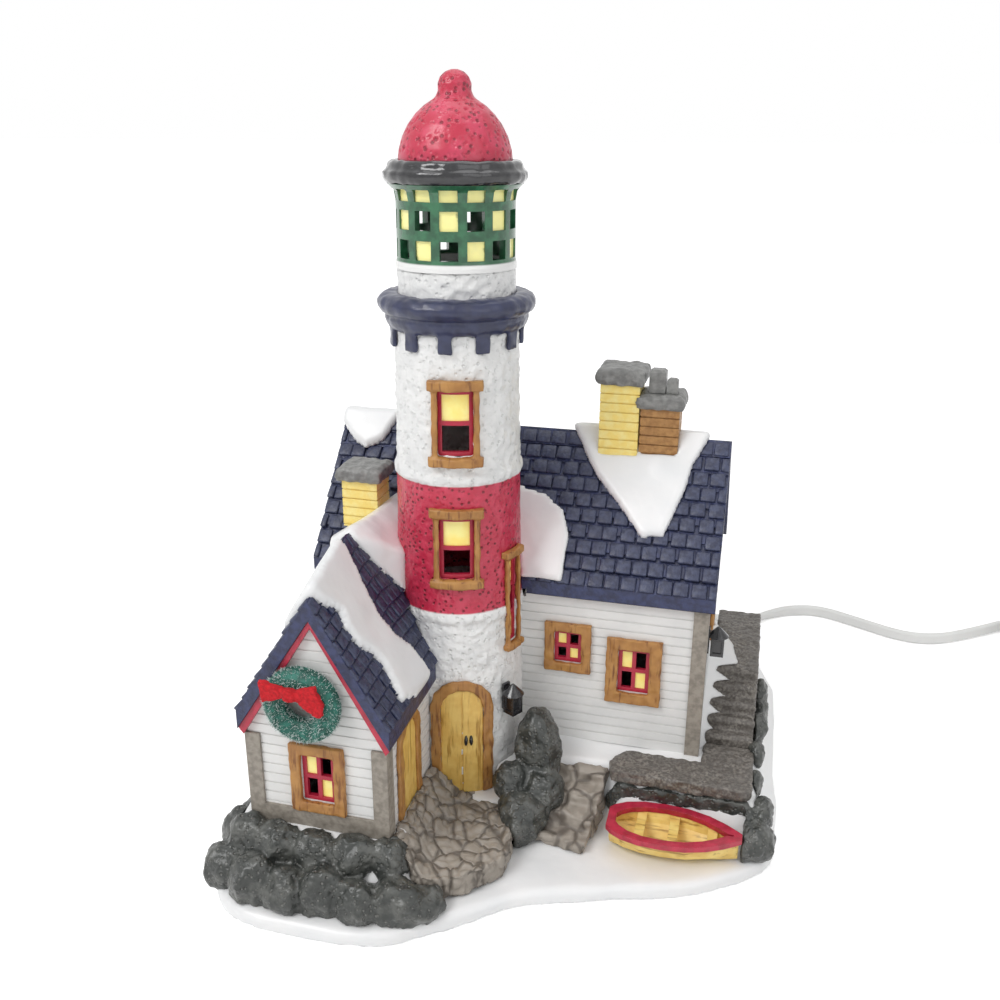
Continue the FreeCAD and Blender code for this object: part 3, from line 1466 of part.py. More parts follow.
def saddle_snow():
    """The mound from the wing's ridge back to the house, and the blanket across the wing's ridge."""
    y0, x0, z0 = wing_sections()[1]
    eave = size("wing_eave_z")
    sections = []
    for y, top, left, right in (
        (y0 + 3, z0 - 1.0, 3, 1), (-27, z0 - 0.9, 6, 5), (-20, z0 - 1.7, 10, 11.5), (-6, 101.5, 16, 20),
        (2, 101, 20, 24), (16, 100.5, 20, 24),
    ):
        sections.append(
            closed_wire(
                [
                    V(x0 - left - 1, y, eave), V(x0 - left, y, top - 0.7 * left), V(x0, y, top),
                    V(x0 + right, y, top - 0.7 * right), V(x0 + right + 1, y, eave),
                ]
            )
        )
    mound = shaped("saddle_mound", ruled(sections))
    strip = [
        (-47.5, -65), (-43.7, -62.8), (-40.4, -57), (-38, -58.9), (-34.8, -58), (-32.7, -54.2), (-29.5, -52.2),
        (-24, -54), (-22.8, -47), (-22.8, -34), (-27.3, -35.6), (-30.8, -41), (-34.6, -43), (-40.3, -41.6),
        (-46.3, -39.3), (-49, -43), (-56, -50), (-54, -62),
    ]
    column = Part.Face(closed_wire([V(x, y, 0) for x, y in strip])).extrude(UP * 150)
    blanket = shaped("wing_blanket", column.common(wing_roof_shape(lift=2.0)))
    return joined("saddle_snow_whole", mound, blanket)


saddle = without(
    "saddle_snow_cut", saddle_snow(), wing_roof, wing_inner, house_block, tower_space, front_trim,
    doc.getObject("saddle_chimney_block"),
)
node("wing_snow", kept("wing_snow_kept", saddle, 20))

# ---------------------------------------------------------------- rocks


def boulder(x, y, z, rx, ry, rz, seed, sides=8):
    """A faceted lump: rings of corners, uneven by a wave of their own."""
    rings = []
    for level, share in ((-0.95, 0.45), (-0.5, 0.88), (0.05, 1.0), (0.55, 0.86), (0.95, 0.42)):
        ring_points = []
        for number in range(sides):
            angle = 2 * math.pi * number / sides + seed
            wave = 1 + 0.1 * math.sin(3 * angle + 5 * seed)
            out_x = rx * share * wave * math.cos(angle)
            out_y = ry * share * wave * math.sin(angle)
            ring_points.append(V(x + out_x, y + out_y, z + rz * level))
        rings.append(closed_wire(ring_points))
    return Part.makeLoft(rings, True, True)


def rocks(label, lumps, *tools):
    """A heap of lumps grown into one, fitted to what stands beside it."""
    shapes = [boulder(*lump, 0.7 * number) for number, lump in enumerate(lumps)]
    heap = shaped(f"{label}_heap", shapes[0].multiFuse(shapes[1:]))
    node(label, kept(f"{label}_kept", without(f"{label}_cut", heap, *tools), 60))


WING_ROCKS = [
    (-73, -62, 11, 9, 8, 10), (-73, -73, 9, 8, 8, 8), (-63, -78, 10, 9, 7, 9), (-52, -79, 9, 8, 7, 8),
    (-41, -78, 10, 8, 7, 9), (-30, -79, 9, 8, 6, 8), (-19, -76, 9, 9, 7, 8), (-12, -72, 7, 7, 6, 6),
    (-68, -69, 17, 7, 6, 8), (-58, -70, 18, 8, 6, 7), (-46, -70, 17, 8, 6, 7), (-34, -70, 18, 8, 6, 7),
    (-24, -67, 16, 7, 7, 8), (-75, -49, 9, 7, 8, 8), (-74, -37, 11, 6, 9, 9),
]
TOWER_ROCKS = [(7, -31, 11, 9, 9, 9), (9, -15, 27, 8, 9, 15), (2, -24, 19, 6, 6, 7), (12, -22, 14, 8, 8, 10)]
LANDING_ROCKS = [(x, -15.5, 12, 7, 4.5, 7) for x in range(39, 79, 7)]
LANDING_ROCKS += [(80, -21, 9, 7, 8, 7), (81.5, -12, 13, 5, 6, 6)]
SIDE_ROCKS = [
    (79, -4, 18, 3, 5, 5), (79, 9, 21, 3, 5, 5), (79, 20, 24, 3, 5, 6), (79.5, 31, 22, 3.5, 6, 8),
    (79.5, 42, 24, 3, 6, 8),
]
WALLS = [nodes[label] for label in ("wing_walls", "house_walls")]
BOARDS = [nodes[label] for label in ("wing_board_left", "wing_board_right", "gable_sill_band")]
path_node = nodes["cobbled_path"]
rocks("wing_rocks", WING_ROCKS, ground, path_node, *WALLS, *BOARDS)
rocks("tower_rocks", TOWER_ROCKS, ground, path_node, nodes["front_steps"], tower_space, WALLS[1])
berth = block(
    "boat_berth", "dim.boat_x - 1.2", "dim.boat_y - dim.boat_beam / 2 - 1.2", "dim.base_edge - 2",
    "dim.boat_l + 2.4", "dim.boat_beam + 2.4", "dim.boat_deep + 12",
)
rocks("landing_rocks", LANDING_ROCKS, ground, nodes["lower_landing"], nodes["side_steps"], berth)
rocks("side_rocks", SIDE_ROCKS, ground, nodes["side_steps"], nodes["lower_landing"], nodes["landing_rocks"])

# ---------------------------------------------------------------- boat

BOAT_STATIONS = (0.0, 0.04, 0.12, 0.25, 0.42, 0.6, 0.75, 0.87, 0.95, 1.0)
WIDEST = 0.42


def boat_half(share):
    """Half the boat's beam at a share of its length: a blunt round stern and a pointed bow."""
    if share < WIDEST:
        taken = ((WIDEST - share) / WIDEST) ** 2.6
        return size("boat_beam") / 2 * math.sqrt(1 - 0.85 * taken)
    taken = ((share - WIDEST) / (1 - WIDEST)) ** 2.2
    return size("boat_beam") / 2 * (1 - 0.96 * taken)


def boat_depth(share):
    """Depth of the hull at a share of its length: its keel rises a little to both ends."""
    return size("boat_deep") * (1 - 0.5 * abs(share - WIDEST) ** 2)


def boat_wires(inset, lift):
    """Cross-sections of the hull from its stern to its bow."""
    top = size("base_edge") + size("boat_deep")
    wires = []
    for share in BOAT_STATIONS:
        x = size("boat_x") + size("boat_l") * share
        x = min(max(x, size("boat_x") + inset), size("boat_x") + size("boat_l") - 3 * inset)
        half = max(0.3, boat_half(share) - inset)
        low = top - boat_depth(share) + inset
        bilge = low + boat_depth(share) * 0.4
        y = size("boat_y")
        wires.append(
            closed_wire(
                [
                    V(x, y - half, top + lift), V(x, y - half * 0.82, bilge), V(x, y - half * 0.3, low),
                    V(x, y + half * 0.3, low), V(x, y + half * 0.82, bilge), V(x, y + half, top + lift),
                ]
            )
        )
    return wires


def boat():
    hull = shaped("boat_outside", ruled(boat_wires(0.0, 0.0)))
    hollow = shaped("boat_inside", ruled(boat_wires(size("boat_wall"), 0.3)))
    node("boat_hull", without("boat_hull_cut", hull, hollow))
    top = size("base_edge") + size("boat_deep")

    def plan(grow):
        left, right = [], []
        for share in BOAT_STATIONS:
            x = size("boat_x") - grow + (size("boat_l") + 2 * grow) * share
            half = max(0.4, boat_half(share) + grow)
            left.append(V(x, size("boat_y") - half, top))
            right.append(V(x, size("boat_y") + half, top))
        return Part.Face(closed_wire(left + right[::-1])).extrude(UP * size("gunwale_h"))

    ring_shape = plan(0.9).cut(plan(0.9 - size("gunwale_w")))
    node("boat_gunwale", shaped("boat_gunwale_ring", ring_shape))
    bars = []
    for share in (0.2, 0.46, 0.76):
        half = boat_half(share) * 0.92
        x = size("boat_x") + size("boat_l") * share
        bars.append(Part.makeBox(3.0, 2 * half, 1.0, V(x, size("boat_y") - half, top - 1.2)))
    bars = shaped("boat_bars", Part.makeCompound(bars))
    hull_node = nodes["boat_hull"]
    node("boat_thwarts", kept("boat_thwarts_kept", without("boat_thwarts_cut", bars, hull_node), 10))


boat()

# ---------------------------------------------------------------- wreath and wall lanterns


def wreath():
    front = size("wing_front") - size("wreath_t") - 0.05
    corners = [2 * math.pi * (number + 0.5) / 8 for number in range(8)]
    ring_r, thick = size("wreath_r"), size("wreath_t")
    across = [V(ring_r + thick * math.cos(a), thick * math.sin(a), 0) for a in corners]
    ring_shape = Part.Face(closed_wire(across)).revolve(V(0, 0, 0), V(0, 1, 0), 360)
    ring_shape.translate(V(size("wreath_x"), front, size("wreath_z")))
    ring_shape = shaped("wreath_ring", ring_shape)
    node("wreath", without("wreath_cut", ring_shape, nodes["rake_trim"], wing_roof))
    x, z = size("wreath_x") - 1, size("wreath_z") + size("wreath_r") - 2.5
    y = front - size("wreath_t") - 0.15
    outline = [
        (-9.5, 3.2), (-8.5, -3.6), (-1.4, -1.0), (1.2, -1.2), (6.5, -5.6), (9.3, -6.0), (9.8, -2.6),
        (7.6, 3.4), (1.4, 1.4), (-1.4, 1.6),
    ]
    bow = Part.Face(closed_wire([V(x + a, y, z + b) for a, b in outline])).extrude(V(0, -1.8, 0))
    knot = Part.makeCylinder(1.9, 2.6, V(x, y, z), V(0, -1, 0))
    node("wreath_bow", shaped("wreath_bow_ribbon", bow.fuse(knot)))


def lantern_shape(depth):
    """A box lantern on a bracket, drawn at the origin with its wall plate on y = 0, facing -Y."""
    plate = Part.makeBox(3.0, 0.9, 9.0, V(-1.5, -0.9, 2.5))
    arm = Part.makeBox(1.2, depth, 1.4, V(-0.6, -depth, 9.0))
    case = Part.makeBox(4.4, 4.4, 7.0, V(-2.2, -depth - 2.2, 2.0))
    case = case.cut(Part.makeBox(5.0, 2.8, 4.6, V(-2.5, -depth - 1.4, 3.2)))
    case = case.cut(Part.makeBox(2.8, 5.0, 4.6, V(-1.4, -depth - 2.5, 3.2)))
    glass = Part.makeBox(3.6, 3.6, 4.6, V(-1.8, -depth - 1.8, 3.2))
    roof_top = Part.makeCone(3.6, 0.5, 3.2, V(0, -depth, 9.0))
    return plate.multiFuse([arm, case, roof_top, glass]).removeSplitter()


def wall_lanterns():
    depth = 3.6
    for label, x, y, z, turn in (
        ("tower_lantern", None, None, 39.0, 60.0),
        ("landing_lantern", size("house_right"), size("gable_door_y") - 25.0, 50.0, 90.0),
    ):
        lantern = lantern_shape(depth)
        if x is None:
            lantern.translate(V(0, -size("tower_r_low") + 0.2, z))
            lantern.rotate(V(0, 0, 0), UP, turn)
            lantern.translate(V(size("tower_x"), size("tower_y"), 0))
            node(label, without(f"{label}_cut", shaped(f"{label}_lump", lantern), tower_face))
        else:
            lantern.rotate(V(0, 0, 0), UP, turn)
            lantern.translate(V(x, y, z))
            node(label, shaped(f"{label}_lump", lantern))


wreath()
wall_lanterns()

# ---------------------------------------------------------------- lamp


def lamp():
    """A clip-in lamp holder, its bulb and the strain relief of its lead, along Y behind the back wall."""
    x, z = "dim.lamp_x", "dim.lamp_z"
    back = V(0, 1, 0)
    sleeve = rod("holder_sleeve", "dim.holder_r", "dim.holder_l", x, "dim.holder_in", z, back)
    mouth = rod("holder_mouth", "dim.bulb_base_r + 0.15", "dim.bulb_base_l", x, "dim.holder_in - 1", z, back)
    node("lamp_holder", without("lamp_holder_cut", sleeve, mouth))
    collar = rod("clip_collar", "dim.holder_r + 1.6", "7", x, "dim.house_back + 0.2", z, back)
    flange = rod("clip_flange", "dim.lamp_hole_r + 2", "1.6", x, "dim.house_back + 0.1", z, back)
    fingers = []
    for turn in (45, 135, 225, 315):
        finger = Part.makeBox(4.0, 9.0, 1.2, V(-2.0, -8.6, size("lamp_hole_r") - 1.5))
        finger = finger.fuse(Part.makeBox(4.0, 1.4, 4.2, V(-2.0, -1.0, size("holder_r") + 0.2)))
        finger.rotate(V(0, 0, 0), V(0, 1, 0), turn)
        finger.translate(V(size("lamp_x"), size("house_back") + 0.8, size("lamp_z")))
        fingers.append(finger)
    spring = shaped("clip_fingers", Part.makeCompound(fingers))
    bore = rod("clip_bore", "dim.holder_r", "20", x, "dim.house_back - 9", z, back)
    node("holder_clip", without("holder_clip_cut", joined("holder_clip_whole", collar, flange, spring), bore))
    screw = rod("bulb_screw", "dim.bulb_base_r", "dim.bulb_base_l - 1", x, "dim.holder_in - 1", z, back)
    skirt = rod("bulb_skirt", "dim.bulb_base_r + 0.6", "1.6", x, "dim.holder_in - 2.6", z, back)
    node("bulb_base", joined("bulb_base_whole", screw, skirt))
    tip = size("holder_in") - 2.6 - size("bulb_l")
    outline = [
        (0, 0), (5.2, 0), (8.6, 9), (size("bulb_r"), 18), (8.8, 27), (4.4, 34), (1.2, size("bulb_l") - 0.6),
        (0, size("bulb_l")),
    ]
    glass = Part.Face(closed_wire([V(r, size("bulb_l") - y, 0) for r, y in outline]))
    glass = glass.revolve(V(0, 0, 0), V(0, 1, 0), 360)
    glass.translate(V(size("lamp_x"), tip, size("lamp_z")))
    node("bulb_glass", shaped("bulb_glass_turned", glass))
    relief = doc.addObject("Part::Cone", "strain_relief_cone")
    relief.Placement.Rotation = FreeCAD.Rotation(UP, back)
    bind(
        relief, Radius1="dim.relief_r", Radius2="dim.lead_d / 2 + 0.7", Height="dim.relief_l",
        at_x=x, at_y="dim.holder_in + dim.holder_l", at_z=z,
    )
    node("strain_relief", relief)


lamp()

# ---------------------------------------------------------------- lead, coil, tie and plug

lead_r = size("lead_d") / 2
coil_low = size("tie_t") + lead_r
coil_high = coil_low + size("coil_layer")
coil_top_y = size("coil_y") + size("coil_r")
exit_y = size("holder_in") + size("holder_l") + size("relief_l")
LEAD = [
    (20, exit_y, 44), (20, 112, 43), (22, 128, 35), (28, 141, 18), (38, 149, 6), (52, 150, 2.65),
    (66, 149, 2.65), (75.5, 152, 2.65), (83.5, 160, 2.65), (93, 167, 2.65), (107, 170, 2.65),
    (124.5, 161, 2.65), (141.5, 152, 2.65), (154.5, 152, 2.65), (168.5, 159.5, 2.65),
    (207.8, coil_top_y, coil_low), (size("coil_x"), coil_top_y, coil_low),
]
TAIL = [
    (size("coil_x"), coil_top_y, coil_high), (246, 189, 8.9), (262, 184, 5), (276, 172, 2.65),
    (284, 157, 3.5), (size("plug_x"), 148, 5.5), (size("plug_x"), size("plug_y"), 5.5),
]


LEAD_SIDES = 6


def lead_section(start, along):
    """The lead's outline across its run, with flat sides."""
    side = along.cross(UP)
    side.normalize()
    up = side.cross(along)
    up.normalize()
    corners = [2 * math.pi * (number + 0.5) / LEAD_SIDES for number in range(LEAD_SIDES)]
    return closed_wire([start + side * (lead_r * math.cos(a)) + up * (lead_r * math.sin(a)) for a in corners])


def swept(name, path, start, along):
    """One unbroken tube along a path; its volume is compared with its section times its length."""
    pipe = Part.BRepOffsetAPI.MakePipeShell(path)
    pipe.add(lead_section(start, along))
    pipe.build()
    pipe.makeSolid()
    area = LEAD_SIDES / 2 * math.sin(2 * math.pi / LEAD_SIDES) * lead_r ** 2
    share = pipe.shape().Volume / (area * path.Length)
    print(name, "length", round(path.Length, 1), "volume share", round(share, 3))
    return shaped(name, pipe.shape())


def tube(name, corners):
    """A lead along straight runs and the arcs that they allow."""
    radii = run_radii(corners)
    print(name, "least radius", round(min(radii[1:-1]), 1))
    return swept(name, rounded_wire(corners, radii), V(*corners[0]), V(*corners[1]) - V(*corners[0]))


def coil_path():
    """Turns inward on the lower layer, a climbing half turn, and turns outward on the upper layer."""
    pitch = size("coil_pitch")
    halves = 2 * int(size("coil_turns"))
    radii = [size("coil_r") - number * pitch / 2 for number in range(halves + 1)]
    radii += [size("coil_r") - number * pitch / 2 for number in range(halves - 1, 0, -1)]
    x, y, z = size("coil_x"), coil_top_y, coil_low
    edges = []
    for number, radius in enumerate(radii):
        side = 1 if number % 2 == 0 else -1
        rise = size("coil_layer") if number == halves else 0.0
        start = V(x, y, z)
        stop = V(x, y - 2 * side * radius, z + rise)
        middle = (start + stop) * 0.5
        edges.append(Part.Arc(start, middle + V(side * (stop - start).Length / 2, 0, 0), stop).toShape())
        y, z = stop.y, stop.z
    return Part.Wire(edges)


def least_self_gap(path, step=3.0):
    """The least distance between stretches of a tube that are more than ten widths apart along it."""
    points = path.discretize(Distance=step)
    apart = int(10 * size("lead_d") / step)
    least = 1e9
    for number, point in enumerate(points):
        for other in points[number + apart:]:
            least = min(least, point.distanceToPoint(other))
    return least - size("lead_d")


def coil():
    path = coil_path()
    print("coil's least self-gap", round(least_self_gap(path), 2))
    return swept("cord_coil_tube", path, V(size("coil_x"), coil_top_y, coil_low), V(1, 0, 0))


def coil_tie():
    """A strap round the turns, in outline on YZ; the lowest turn rests on it."""
    near = size("coil_y") - size("coil_r")
    far = near + size("coil_turns") * size("coil_pitch")
    top = coil_high + lead_r + 0.15
    inner = [
        (near - lead_r - 0.2, size("tie_t")), (far - lead_r - 0.3, size("tie_t")),
        (far + lead_r + 0.3, coil_high - lead_r - 0.2), (far + lead_r + 0.3, top),
        (near + 2.9, top), (near - lead_r - 0.2, coil_low + lead_r + 0.2),
    ]
    outer = [
        (near - lead_r - 1.5, 0), (far - lead_r + 0.3, 0), (far + lead_r + 1.6, coil_high - lead_r - 0.9),
        (far + lead_r + 1.6, top + 1.2), (near + 2.3, top + 1.2), (near - lead_r - 1.5, coil_low + lead_r + 0.8),
    ]
    x = size("coil_x") - size("tie_w") / 2
    faces = [Part.Face(closed_wire([V(x, y, z) for y, z in outline])) for outline in (outer, inner)]
    solids = [face.extrude(V(size("tie_w"), 0, 0)) for face in faces]
    return shaped("coil_tie_strap", solids[0].cut(solids[1]))


def plug():
    """A moulded two-blade plug lying flat, its blades toward -Y."""
    x, y, w, long = size("plug_x"), size("plug_y"), size("plug_w"), size("plug_l")
    outline = [
        (x - 4, y), (x - 7, y - 6), (x - w / 2, y - 9), (x - w / 2, y - long), (x + w / 2, y - long),
        (x + w / 2, y - 9), (x + 7, y - 6), (x + 4, y),
    ]
    body = Part.Face(closed_wire([V(a, b, 0) for a, b in outline])).extrude(UP * size("plug_h"))
    long_edges = [e for e in body.Edges if abs(e.tangentAt(e.FirstParameter).z) < 0.1]
    node("plug_body", shaped("plug_body_moulded", body.makeChamfer(1.0, long_edges)))
    blades = []
    for side in (-1, 1):
        left = x + side * size("blade_gap") / 2 - size("blade_t") / 2
        low = (size("plug_h") - size("blade_w")) / 2
        corner = V(left, y - long - size("blade_l"), low)
        blades.append(Part.makeBox(size("blade_t"), size("blade_l"), size("blade_w"), corner))
    node("plug_blades", shaped("plug_blade_pair", Part.makeCompound(blades)))


node("cord_lead", tube("cord_lead_tube", LEAD))
node("cord_coil", coil())
node("cord_tail", tube("cord_tail_tube", TAIL))
node("coil_tie", coil_tie())
plug()

# ---------------------------------------------------------------- sub-parts that are alike share a node


def group(label, *labels):
    """Several sub-parts of one kind as a single node."""
    made = doc.addObject("Part::Compound", label + "_group")
    made.Links = [nodes.pop(part) for part in labels]
    for part, made_of in zip(labels, made.Links):
        made_of.Label = part + "_piece"
    node(label, made)


group("tower_window_frames", "upper_tower_window_frame", "lower_tower_window_frame", "side_tower_window_frame")
node(
    "tower_window_frames",
    without("tower_window_frames_fit", nodes["tower_window_frames"], nodes["tower"]),
)
group("tower_window_sashes", "upper_tower_window_sash", "lower_tower_window_sash", "side_tower_window_sash")
group("house_window_frames", "small_window_frame", "large_window_frame")
group("house_window_sashes", "small_window_sash", "large_window_sash")
group("eave_trims", "eave_trim_front", "eave_trim_back")
group("corner_boards", "corner_board_front", "corner_board_back")
group("wing_boards", "wing_board_left", "wing_board_right", "gable_sill_band")
group("roof_snow", "roof_snow_chimney", "roof_snow_tower", "roof_snow_left")
group("wall_lanterns", "tower_lantern", "landing_lantern")
group("walk_rocks", "landing_rocks", "side_rocks")

# ---------------------------------------------------------------- checks and export

doc.recompute()
failed = [thing.Name for thing in doc.Objects if {"Invalid", "Error"} & set(thing.State)]
if failed:
    raise RuntimeError("failed objects: " + ", ".join(failed))
for label, thing in nodes.items():
    if thing.Shape.isNull() or not thing.Shape.isValid():
        raise RuntimeError("bad shape: " + label)
for label, thing in nodes.items():
    thing.Shape.exportStep(f"parts/{label}.step")
print("exported", len(nodes), "sub-parts")
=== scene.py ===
import math
import random

import bmesh
import bpy
from mathutils import Matrix, Vector, noise


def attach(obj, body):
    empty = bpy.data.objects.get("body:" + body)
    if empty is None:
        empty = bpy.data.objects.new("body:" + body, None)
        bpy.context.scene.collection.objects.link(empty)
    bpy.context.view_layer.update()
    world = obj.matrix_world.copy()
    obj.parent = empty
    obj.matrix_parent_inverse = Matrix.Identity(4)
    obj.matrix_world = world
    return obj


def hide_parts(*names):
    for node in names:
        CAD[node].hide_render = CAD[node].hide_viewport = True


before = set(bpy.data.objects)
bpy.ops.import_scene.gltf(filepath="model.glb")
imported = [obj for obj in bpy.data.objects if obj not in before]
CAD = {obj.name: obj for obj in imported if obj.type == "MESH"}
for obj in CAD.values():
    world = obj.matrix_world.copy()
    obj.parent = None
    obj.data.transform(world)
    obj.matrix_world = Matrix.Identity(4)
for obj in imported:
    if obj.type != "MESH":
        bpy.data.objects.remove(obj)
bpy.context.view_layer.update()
MM = 0.001
random.seed(7)


def mm(x, y, z):
    """A point of the row frame, given in millimetres."""
    return Vector((x, y, z)) * MM


# ---------------------------------------------------------------- camera, floor and light

# The camera's place and angles come from fitting the model to the photograph.
CAMERA_AT = mm(69.03, -296.73, 218.08)
CAMERA_YAW = math.radians(14.605)
CAMERA_DOWN = math.radians(19.83)
CAMERA_ROLL = math.radians(0.217)
LENS = 36.53
SENSOR = 36.0


def camera():
    data = bpy.data.cameras.new("camera")
    data.lens = LENS
    data.sensor_width = SENSOR
    data.clip_start = 0.01
    made = bpy.data.objects.new("camera", data)
    bpy.context.scene.collection.objects.link(made)
    turn = Matrix.Rotation(CAMERA_YAW, 4, "Z") @ Matrix.Rotation(math.pi / 2 - CAMERA_DOWN, 4, "X")
    made.matrix_world = Matrix.Translation(CAMERA_AT) @ turn @ Matrix.Rotation(CAMERA_ROLL, 4, "Z")
    bpy.context.scene.camera = made


def area_light(name, at, size, power):
    data = bpy.data.lights.new(name, "AREA")
    data.size = size
    data.energy = power
    made = bpy.data.objects.new(name, data)
    made.location = at
    made.rotation_euler = (Vector(LIGHT_AIM) - Vector(at)).to_track_quat("-Z", "Y").to_euler()
    bpy.context.scene.collection.objects.link(made)


# name: place in metres, size in metres, power in watts
LIGHTS = {
    "key": ((-0.55, -0.75, 1.05), 0.6, 8.6),
    "fill": ((0.75, -0.65, 0.7), 0.9, 2.6),
    "top": ((0.0, 0.2, 1.3), 0.9, 3.4),
}
LIGHT_AIM = (0, 0, 0.08)
WORLD_LIGHT, WORLD_SEEN = 0.42, 1.0
FLOOR_SIZE = 60.0
FLOOR_COLOUR = (0.93, 0.93, 0.93, 1.0)
NEAR_FLOOR, FAR_FLOOR = 0.25, 0.8
NEAR_GLOW, FAR_GLOW = 0.40, 0.68
PURE_WHITE = (1.0, 1.0, 1.0, 1.0)


def seen_brighter(tree, plain, seen):
    """One strength for light, another where the camera, a gloss or a clear thing shows the surface."""
    path = tree.nodes.new("ShaderNodeLightPath")
    total = path.outputs["Is Camera Ray"]
    for name in ("Is Glossy Ray", "Is Transmission Ray"):
        added = tree.nodes.new("ShaderNodeMath")
        added.operation = "MAXIMUM"
        tree.links.new(total, added.inputs[0])
        tree.links.new(path.outputs[name], added.inputs[1])
        total = added.outputs[0]
    spread = tree.nodes.new("ShaderNodeMapRange")
    tree.links.new(total, spread.inputs["Value"])
    spread.inputs["To Min"].default_value = plain
    spread.inputs["To Max"].default_value = seen
    return spread.outputs[0]


def world_light():
    scene = bpy.context.scene
    scene.view_settings.view_transform = "Standard"
    world = bpy.data.worlds.new("studio")
    scene.world = world
    world.use_nodes = True
    tree = world.node_tree
    background = tree.nodes["Background"]
    background.inputs["Color"].default_value = PURE_WHITE
    tree.links.new(seen_brighter(tree, WORLD_LIGHT, WORLD_SEEN), background.inputs["Strength"])


def floor_material():
    """A pale floor that looks white to the camera and turns whiter far from the object."""
    made = bpy.data.materials.new("floor")
    made.use_nodes = True
    tree = made.node_tree
    shader = tree.nodes["Principled BSDF"]
    shader.inputs["Base Color"].default_value = FLOOR_COLOUR
    shader.inputs["Roughness"].default_value = 0.8
    shader.inputs["Emission Color"].default_value = PURE_WHITE
    place = tree.nodes.new("ShaderNodeTexCoord")
    reach = tree.nodes.new("ShaderNodeVectorMath")
    reach.operation = "LENGTH"
    tree.links.new(place.outputs["Object"], reach.inputs[0])
    spread = tree.nodes.new("ShaderNodeMapRange")
    tree.links.new(reach.outputs["Value"], spread.inputs["Value"])
    for socket, number in zip(list(spread.inputs)[1:5], (NEAR_FLOOR, FAR_FLOOR, NEAR_GLOW, FAR_GLOW)):
        socket.default_value = number
    glow = tree.nodes.new("ShaderNodeMath")
    glow.operation = "MULTIPLY"
    tree.links.new(spread.outputs[0], glow.inputs[0])
    tree.links.new(seen_brighter(tree, 0.0, 1.0), glow.inputs[1])
    tree.links.new(glow.outputs[0], shader.inputs["Emission Strength"])
    return made


def floor():
    bpy.ops.mesh.primitive_plane_add(size=FLOOR_SIZE, location=(0, 0, 0))
    made = bpy.context.object
    made.name = "floor"
    made.data.materials.append(floor_material())


camera()
world_light()
for light, (place, size, power) in LIGHTS.items():
    area_light(light, place, size, power)
floor()

# ---------------------------------------------------------------- making materials


